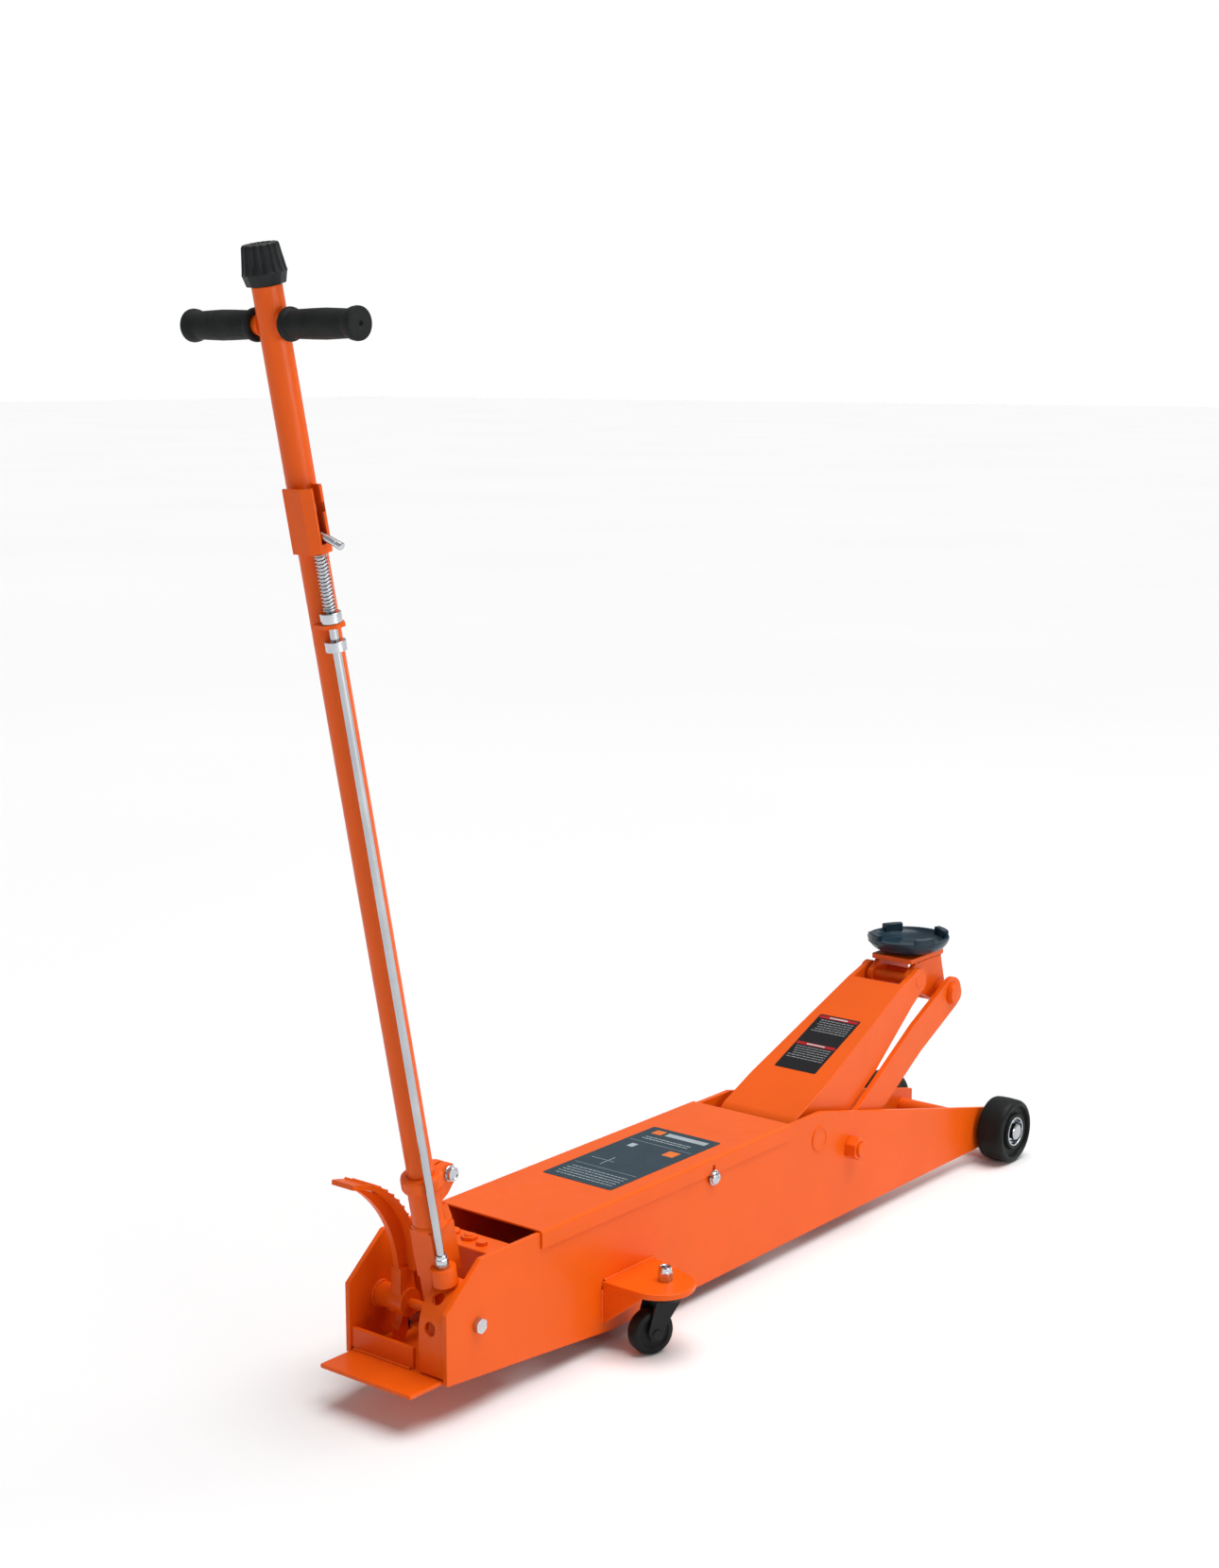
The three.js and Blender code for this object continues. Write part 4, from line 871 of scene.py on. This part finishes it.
def release_knob():
    """A tapering knob: flutes cut its upper part, and flat facets go round its skirt."""
    count = sizes().flutes
    fluted = [(24.3, 1242), (23.6, 1244.5), (22.8, 1250), (21.6, 1258), (20.6, 1265), (20.0, 1269.6),
              (19.0, 1271.4), (17.6, 1272)]
    profile = [(0, 1230), (20.6, 1230), (21.5, 1230.8), (24.0, 1240.4), *fluted, (12, 1272),
               (10.5, 1270.8), (0, 1270.6)]

    def flutes(angle, height):
        groove = np.clip(np.cos(angle * count) * 1.6, -1, 1) * 0.5 + 0.5
        cut = np.clip((height - 1243) / 3, 0, 1)
        skirt = np.clip((1242.5 - height) / 2, 0, 1)
        facet = 1 / np.cos(np.mod(angle, np.pi / 6) - np.pi / 12) * 0.967
        return (1 - 0.085 * groove * cut) * (1 + (facet - 1) * skirt)

    body = turned(profile, wave=flutes, facets=256)
    publish("moulded_release_knob", body, "release", "knob_plastic", ["release_knob"], in_handle)
    rod = turned([(0, 126), (6, 126), (6, 1248), (0, 1248)], "z")
    publish("ground_release_rod", rod, "release", "bright_steel", ["release_rod"], in_handle)


def latch():
    """The bracket and the strap that guide the lock rod."""
    eased("latch_bracket", "handle", "orange_paint", edge=0.6, steps=2)
    eased("rod_strap", "handle", "orange_paint", edge=0.8, steps=2)


def lock_rod():
    """Rod, collars and ferrule turned about the rod, and a lever turned about y and then tilted."""
    x, y = LOCK_ROD
    rod = turned([(0, 84), (4.2, 84), (4.8, 84.6), (4.8, 1003.2), (4.2, 1004), (0, 1004)], "z", (x, y, 0))
    publish("ground_lock_rod", rod, "lock_rod", "bright_steel", ["lock_rod"], in_handle)
    collar = rounded([(5.1, 0), (11.8, 0), (11.8, 11.5), (5.1, 11.5)], 0.7, 3)
    for name, start in (("upper", 871.8), ("lower", 840.2)):
        ring = turned([(r, h + start) for r, h in collar], "z", (x, y, 0), ring=True)
        publish(f"zinc_lock_collar_{name}", ring, "lock_rod", "zinc_plate",
                [f"lock_collar_{name}"], in_handle)
    lever = [(0, -31), (3.6, -31), (4.3, -30.2), (4.3, -23), (3.8, -22.6), (4.3, -22.2), (4.3, -1), (3.6, 0),
             (0, 0)]
    points, faces = turned(lever, "y", facets=32)
    lean = math.radians(22)
    px, py, pz = points.T
    c, s = math.cos(lean), math.sin(lean)
    points = np.stack([px + x, py * c - pz * s + y - 7.0 * c, py * s + pz * c + 971 - 7.0 * s], 1)
    publish("zinc_lock_lever", (points, faces), "lock_rod", "zinc_plate", ["lock_lever"], in_handle)
    ferrule = rounded([(5.1, 84), (7.2, 84), (7.9, 85.0), (7.9, 90.4), (6.8, 91.2), (6.8, 95.6),
                       (5.1, 96)], 0.5, 3)
    plug = turned([(0, 57.7), (7.9, 57.7), (7.9, 84), (0, 84)], "z", (x, y, 0))
    publish("zinc_lock_ferrule", together(turned(ferrule, "z", (x, y, 0), ring=True), plug), "lock_rod",
            "zinc_plate", ["lock_ferrule"], in_handle)


def lock_spring():
    """A coil: radius times cos and sin of the turns, rising evenly, its end turns closed up."""
    x, y = LOCK_ROD
    turns = sizes().coils
    start, end = 884.6, 948.0
    t = np.linspace(0, 1, turns * 26)
    rise = np.interp(t, [0, 1 / turns, 1 - 1 / turns, 1], [0.012, 0.034, 0.966, 0.988])
    angle = t * turns * 2 * np.pi
    path = np.stack([x + 6.7 * np.cos(angle), y + 6.7 * np.sin(angle), start + rise * (end - start)], 1)
    spring = publish("zinc_lock_spring", carried(path, 0.8, (0, 0, 1), 8), "handle", "zinc_plate",
                     ["lock_spring"], in_handle, crease=60)
    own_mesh(spring)


# ------------------------------------------------------------------ pedal and plungers
def foot_pedal():
    """The toothed pedal, with its edges eased."""
    eased("foot_pedal", "pedal", "orange_paint", edge=1.1, steps=2)


def plungers():
    """Headed plungers, (radius, distance) turned about x."""
    for node, y, x in (("hand_plunger", HANDLE_Y + 7.5, 54.2), ("foot_plunger", 38.0, 58.2)):
        profile = [(0, x), (8, x), (9, x + 1), (9, x + 4), (8, x + 5), (7, x + 5), (7, x + 48), (0, x + 48)]
        publish(f"ground_{node}", turned(profile, "x", (0, y, 80)), body_of(node), "bright_steel", [node])


# ------------------------------------------------------------------ panels with generic marks
def flat_colour(name, colour, roughness=0.4):
    """A printed ink: one tone with a faint mottle and an even gloss."""
    return coating(name, colour, tinted(colour, 0.86), roughness, 0.05, patch=50, grain=800, depth=0.000004,
                   sheen=0.15)


def tiles(rows, level, place):
    """Printed blocks: each row is (x0, x1, y0, y1), a thin raised rectangle."""
    shapes = []
    for x0, x1, y0, y1 in rows:
        outline = np.array([(x0, y0), (x1, y0), (x1, y1), (x0, y1)], float)
        shapes.append(plate(outline, level, level + 0.12, "xy", edge=0.03, steps=1))
    points, faces = together(*shapes)
    return place(points), faces


def dashes(start, end, across, height, seed):
    """A line of short blocks of uneven length with gaps between them, like a line of small print."""
    rng = np.random.default_rng(seed)
    widths = rng.uniform(2.2, 7.5, 60)
    edges = start + np.cumsum(np.stack([np.full(60, 1.1), widths], 1).ravel())
    starts, ends = edges[0::2], edges[1::2]
    keep = ends < end
    return [(a, b, across - height / 2, across + height / 2) for a, b in zip(starts[keep], ends[keep])]


def printed(name, ground, marks, place, body, ground_colour):
    """A panel and its marks, each ink an object of its own."""
    base = publish(name, (place(ground[0]), ground[1]), body, "orange_paint")
    base.data.materials[0] = flat_colour(name + "_ground", ground_colour, 0.32)
    for ink, (colour, rows, level) in marks.items():
        piece = publish(f"{name}_{ink}", tiles(rows, level, place), body, "orange_paint")
        piece.data.materials[0] = flat_colour(f"{name}_{ink}", colour)


def cover_panel():
    """The panel on the cover: plain bars and rows of uneven dashes."""
    x0, x1, y0, y1, z = 335.0, 575.0, -60.0, 55.0, 193.95

    def place(points):
        return points

    ground = plate(rounded([(x0, y0), (x1, y0), (x1, y1), (x0, y1)], 4, 4), z, z + 0.25, "xy",
                   edge=0.08, steps=1)
    level = z + 0.22
    pale, small = [], []
    for k, height in enumerate((2.2, 2.2)):
        small += dashes(y0 + 22, y1 - 14, x1 - 40 - 7 * k, height, 10 + k)
    for k in range(5):
        small += dashes(y0 + 8, y1 - 8, x0 + 14 + 8 * k, 1.8, 30 + k)
    turned_rows = [(c, d, a, b) for a, b, c, d in small]
    pale += [(x1 - 24, x1 - 12, y0 + 12, y1 - 36)]
    accent = [(x1 - 26, x1 - 10, y1 - 30, y1 - 14), (x1 - 90, x1 - 70, y0 + 16, y0 + 34)]
    rule = [(x0 + 60, x0 + 61.4, y0 + 6, y1 - 6), (x1 - 62, x1 - 60.6, y0 + 6, y1 - 6)]
    blocks = [(x1 - 88, x1 - 74, y1 - 30, y1 - 20), (x0 + 72, x0 + 104, y1 - 40, y1 - 39),
              (x0 + 88, x0 + 89, y1 - 50, y1 - 12)]
    printed("cover_panel", ground, {
        "pale": ((0.38, 0.44, 0.48), pale + turned_rows + blocks, level),
        "rule": ((0.20, 0.26, 0.30), rule, level),
        "accent": ((0.80, 0.18, 0.03), accent, level),
    }, place, "chassis", tuple(paint().cover_label))


def arm_panel():
    """The dark panel on the arm's sloping back."""
    s0, s1, y0, y1 = ARM_PANEL
    slope = math.atan2(24.5 - 41.96, ARM_LENGTH - 40 - -6.5)
    lift = along_arm(ARM_PIVOT)

    def place(points):
        s, y, up = points.T
        run = s + 6.5
        above = 41.96 + run * math.tan(slope)
        return lift(np.stack([s - up * math.sin(slope), y, above + up * math.cos(slope)], 1))

    ground = plate(rounded([(s0, y0), (s1, y0), (s1, y1), (s0, y1)], 2.5, 4), 0.05, 0.3, "xy",
                   edge=0.08, steps=1)
    level = 0.27
    length = s1 - s0
    bars, lines = [], []
    for part in (0.0, 0.5):
        top = s1 - part * length
        bars.append((top - 8.5, top - 2.5, y0 + 2.5, y1 - 2.5))
        for k in range(6):
            row = dashes(y0 + 4, y1 - 4, top - 13 - 5.2 * k, 1.5, int(40 + k + part * 20))
            lines += [(c, d, a, b) for a, b, c, d in row]
    heading = [(s1 - 7 - part * length, s1 - 4 - part * length, y0 + 20, y1 - 20) for part in (0.0, 0.5)]
    printed("arm_panel", ground, {
        "red": ((0.42, 0.012, 0.016), bars, level),
        "pale": ((0.30, 0.31, 0.33), lines, level),
        "heading": ((0.55, 0.50, 0.50), heading, level + 0.1),
    }, place, "lift_arm", (0.012, 0.012, 0.014))



# ------------------------------------------------------------------ stage
def lamp_at(name, kind, spot, power, aim=(0, 0, 0.4)):
    """A lamp at a place, turned towards the jack."""
    data = bpy.data.lights.new(name, kind)
    data.energy = power
    lamp = bpy.data.objects.new(name, data)
    lamp.location = spot
    way = np.subtract(aim, spot)
    lamp.rotation_euler = (math.atan2(math.hypot(way[0], way[1]), -way[2]), 0, math.atan2(-way[0], way[1]))
    bpy.context.scene.collection.objects.link(lamp)
    return data


def stage():
    """A pale floor, soft light from above and in front, and the camera.

    Polished pieces mirror a pale room that is dark only where the viewer stands, along VIEW_FROM.
    """
    size = 60.0
    mesh = bpy.data.meshes.new("floor")
    corners = [(-size, -size, 0), (size, -size, 0), (size, size, 0), (-size, size, 0)]
    mesh.from_pydata(corners, [], [(0, 1, 2, 3)])
    floor = bpy.data.objects.new("floor", mesh)
    bpy.context.scene.collection.objects.link(floor)
    mesh.materials.append(coating("floor_pale", (0.86, 0.86, 0.86), (0.84, 0.84, 0.84), 0.9, 0.02, patch=0.4,
                                  grain=20, depth=0.0))
    world = bpy.data.worlds.new("soft_room")
    world.use_nodes = True
    nodes, links = world.node_tree.nodes, world.node_tree.links
    fill, seen = nodes["Background"], nodes.new("ShaderNodeBackground")
    fill.inputs["Color"].default_value = (1, 1, 1, 1)
    fill.inputs["Strength"].default_value = 0.22
    seen.inputs["Color"].default_value = (1, 1, 1, 1)
    mirrored = nodes.new("ShaderNodeBackground")
    mirrored.inputs["Color"].default_value = (1, 1, 1, 1)
    way, toward, shade = (nodes.new(kind) for kind in (
        "ShaderNodeTexCoord", "ShaderNodeVectorMath", "ShaderNodeMapRange"))
    toward.operation = "DOT_PRODUCT"
    toward.inputs[1].default_value = VIEW_FROM
    links.new(way.outputs["Generated"], toward.inputs[0])
    links.new(toward.outputs["Value"], shade.inputs["Value"])
    for socket, value in (("From Min", 0.74), ("From Max", 0.87), ("To Min", 0.42), ("To Max", 0.01)):
        shade.inputs[socket].default_value = value
    links.new(shade.outputs["Result"], mirrored.inputs["Strength"])
    path = nodes.new("ShaderNodeLightPath")
    shader = fill
    for ray, other in (("Is Glossy Ray", mirrored), ("Is Camera Ray", seen)):
        either = nodes.new("ShaderNodeMixShader")
        links.new(path.outputs[ray], either.inputs["Fac"])
        links.new(shader.outputs[0], either.inputs[1])
        links.new(other.outputs[0], either.inputs[2])
        shader = either
    links.new(shader.outputs[0], nodes["World Output"].inputs["Surface"])
    bpy.context.scene.world = world
    lamp_at("sky", "SUN", (0.4, -0.7, 4.0), 3.0).angle = math.radians(50)
    front = lamp_at("front", "AREA", (-0.3, -4.4, 1.0), 54)
    front.shape = "RECTANGLE"
    front.size, front.size_y = 2.6, 1.0
    lamp_at("side", "AREA", (3.4, -1.4, 2.2), 12).size = 1.0
    lens = bpy.data.cameras.new("view")
    lens.lens = 54.73
    lens.sensor_width = 36
    camera = bpy.data.objects.new("view", lens)
    camera.location = (-2.47302, -1.88033, 1.236)
    camera.rotation_euler = (math.radians(90 - 10.04), 0, math.radians(-51.20))
    bpy.context.scene.collection.objects.link(camera)
    bpy.context.scene.camera = camera
    bpy.context.scene.view_settings.view_transform = "Standard"


# ------------------------------------------------------------------ operators
def made(*makers):
    """Run the functions that make an operator's pieces. One that fails raises, and the script stops."""
    for make in makers:
        make()
    return {"FINISHED"}


class JACK_OT_stage(bpy.types.Operator):
    """Place the floor, the lights and the camera"""
    bl_idname = "jack.stage"
    bl_label = "Stage"

    def execute(self, context):
        return made(stage)


class JACK_OT_chassis(bpy.types.Operator):
    """Make the side plates, the foot plate and the plates between them"""
    bl_idname = "jack.chassis"
    bl_label = "Chassis plates"

    def execute(self, context):
        return made(side_plates, foot_plate, inner_works, quadrant)


class JACK_OT_cover(bpy.types.Operator):
    """Fold the top cover and set its screws"""
    bl_idname = "jack.cover"
    bl_label = "Top cover"

    def execute(self, context):
        return made(top_cover, cover_screws)


class JACK_OT_hardware(bpy.types.Operator):
    """Turn the pivot bolt, the spacer, the link bolts and the arm's shaft"""
    bl_idname = "jack.hardware"
    bl_label = "Pivots and bolts"

    def execute(self, context):
        return made(pivot_hardware, link_bolts, arm_shaft)


class JACK_OT_welds(bpy.types.Operator):
    """Lay the weld beads"""
    bl_idname = "jack.welds"
    bl_label = "Weld beads"

    def execute(self, context):
        return made(chassis_welds)


class JACK_OT_wheels(bpy.types.Operator):
    """Mould the front wheels and turn their axle"""
    bl_idname = "jack.wheels"
    bl_label = "Front wheels"

    def execute(self, context):
        return made(front_wheels)


class JACK_OT_casters(bpy.types.Operator):
    """Make the casters and their brackets"""
    bl_idname = "jack.casters"
    bl_label = "Casters"

    def execute(self, context):
        return made(caster_brackets, casters)


class JACK_OT_lift(bpy.types.Operator):
    """Round the lift arm's folds, ease its links' edges, make the saddle head and the ram's parts, and turn
    their pins
    """
    bl_idname = "jack.lift"
    bl_label = "Lift arm"

    def execute(self, context):
        return made(lift_arm, lift_links, saddle_head, ram_parts)


class JACK_OT_saddle(bpy.types.Operator):
    """Cast the saddle"""
    bl_idname = "jack.saddle"
    bl_label = "Saddle"

    def execute(self, context):
        return made(saddle)


class JACK_OT_handle(bpy.types.Operator):
    """Make the handle's socket, tubes, grips and knob"""
    bl_idname = "jack.handle"
    bl_label = "Handle"

    def execute(self, context):
        return made(handle_socket, handle_tubes, grips, release_knob)


class JACK_OT_lock(bpy.types.Operator):
    """Make the lock rod with its spring, collars, lever and bracket"""
    bl_idname = "jack.lock"
    bl_label = "Handle lock"

    def execute(self, context):
        return made(latch, lock_rod, lock_spring)


class JACK_OT_pedal(bpy.types.Operator):
    """Make the foot pedal and the pump's plungers"""
    bl_idname = "jack.pedal"
    bl_label = "Foot pedal"

    def execute(self, context):
        return made(foot_pedal, plungers)


class JACK_OT_panels(bpy.types.Operator):
    """Print the panels on the cover and on the arm"""
    bl_idname = "jack.panels"
    bl_label = "Printed panels"

    def execute(self, context):
        return made(cover_panel, arm_panel)


OPERATORS = (JACK_OT_stage, JACK_OT_chassis, JACK_OT_cover, JACK_OT_hardware, JACK_OT_welds, JACK_OT_wheels,
             JACK_OT_casters, JACK_OT_lift, JACK_OT_saddle, JACK_OT_handle, JACK_OT_lock, JACK_OT_pedal,
             JACK_OT_panels)


class JACK_PT_panel(bpy.types.Panel):
    """Sidebar list of the jack's pieces, colours and sizes"""
    bl_idname = "JACK_PT_panel"
    bl_label = "Floor Jack"
    bl_space_type = "VIEW_3D"
    bl_region_type = "UI"
    bl_category = "Floor Jack"

    def draw(self, context):
        for group in (context.scene.jack_paint, context.scene.jack_sizes):
            for name in group.__annotations__:
                self.layout.prop(group, name)
        for operator in OPERATORS:
            self.layout.operator(operator.bl_idname)


CLASSES = (JackPaint, JackSizes) + OPERATORS + (JACK_PT_panel,)


def register():
    """Register the classes and hang the settings on the scene."""
    for cls in CLASSES:
        bpy.utils.register_class(cls)
    bpy.types.Scene.jack_paint = bpy.props.PointerProperty(type=JackPaint)
    bpy.types.Scene.jack_sizes = bpy.props.PointerProperty(type=JackSizes)


def unregister():
    """Take the settings off the scene and unregister the classes."""
    del bpy.types.Scene.jack_sizes
    del bpy.types.Scene.jack_paint
    for cls in reversed(CLASSES):
        bpy.utils.unregister_class(cls)


def main():
    """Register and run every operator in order."""
    register()
    for operator in OPERATORS:
        group, name = operator.bl_idname.split(".")
        getattr(getattr(bpy.ops, group), name)()


if __name__ == "__main__":
    main()
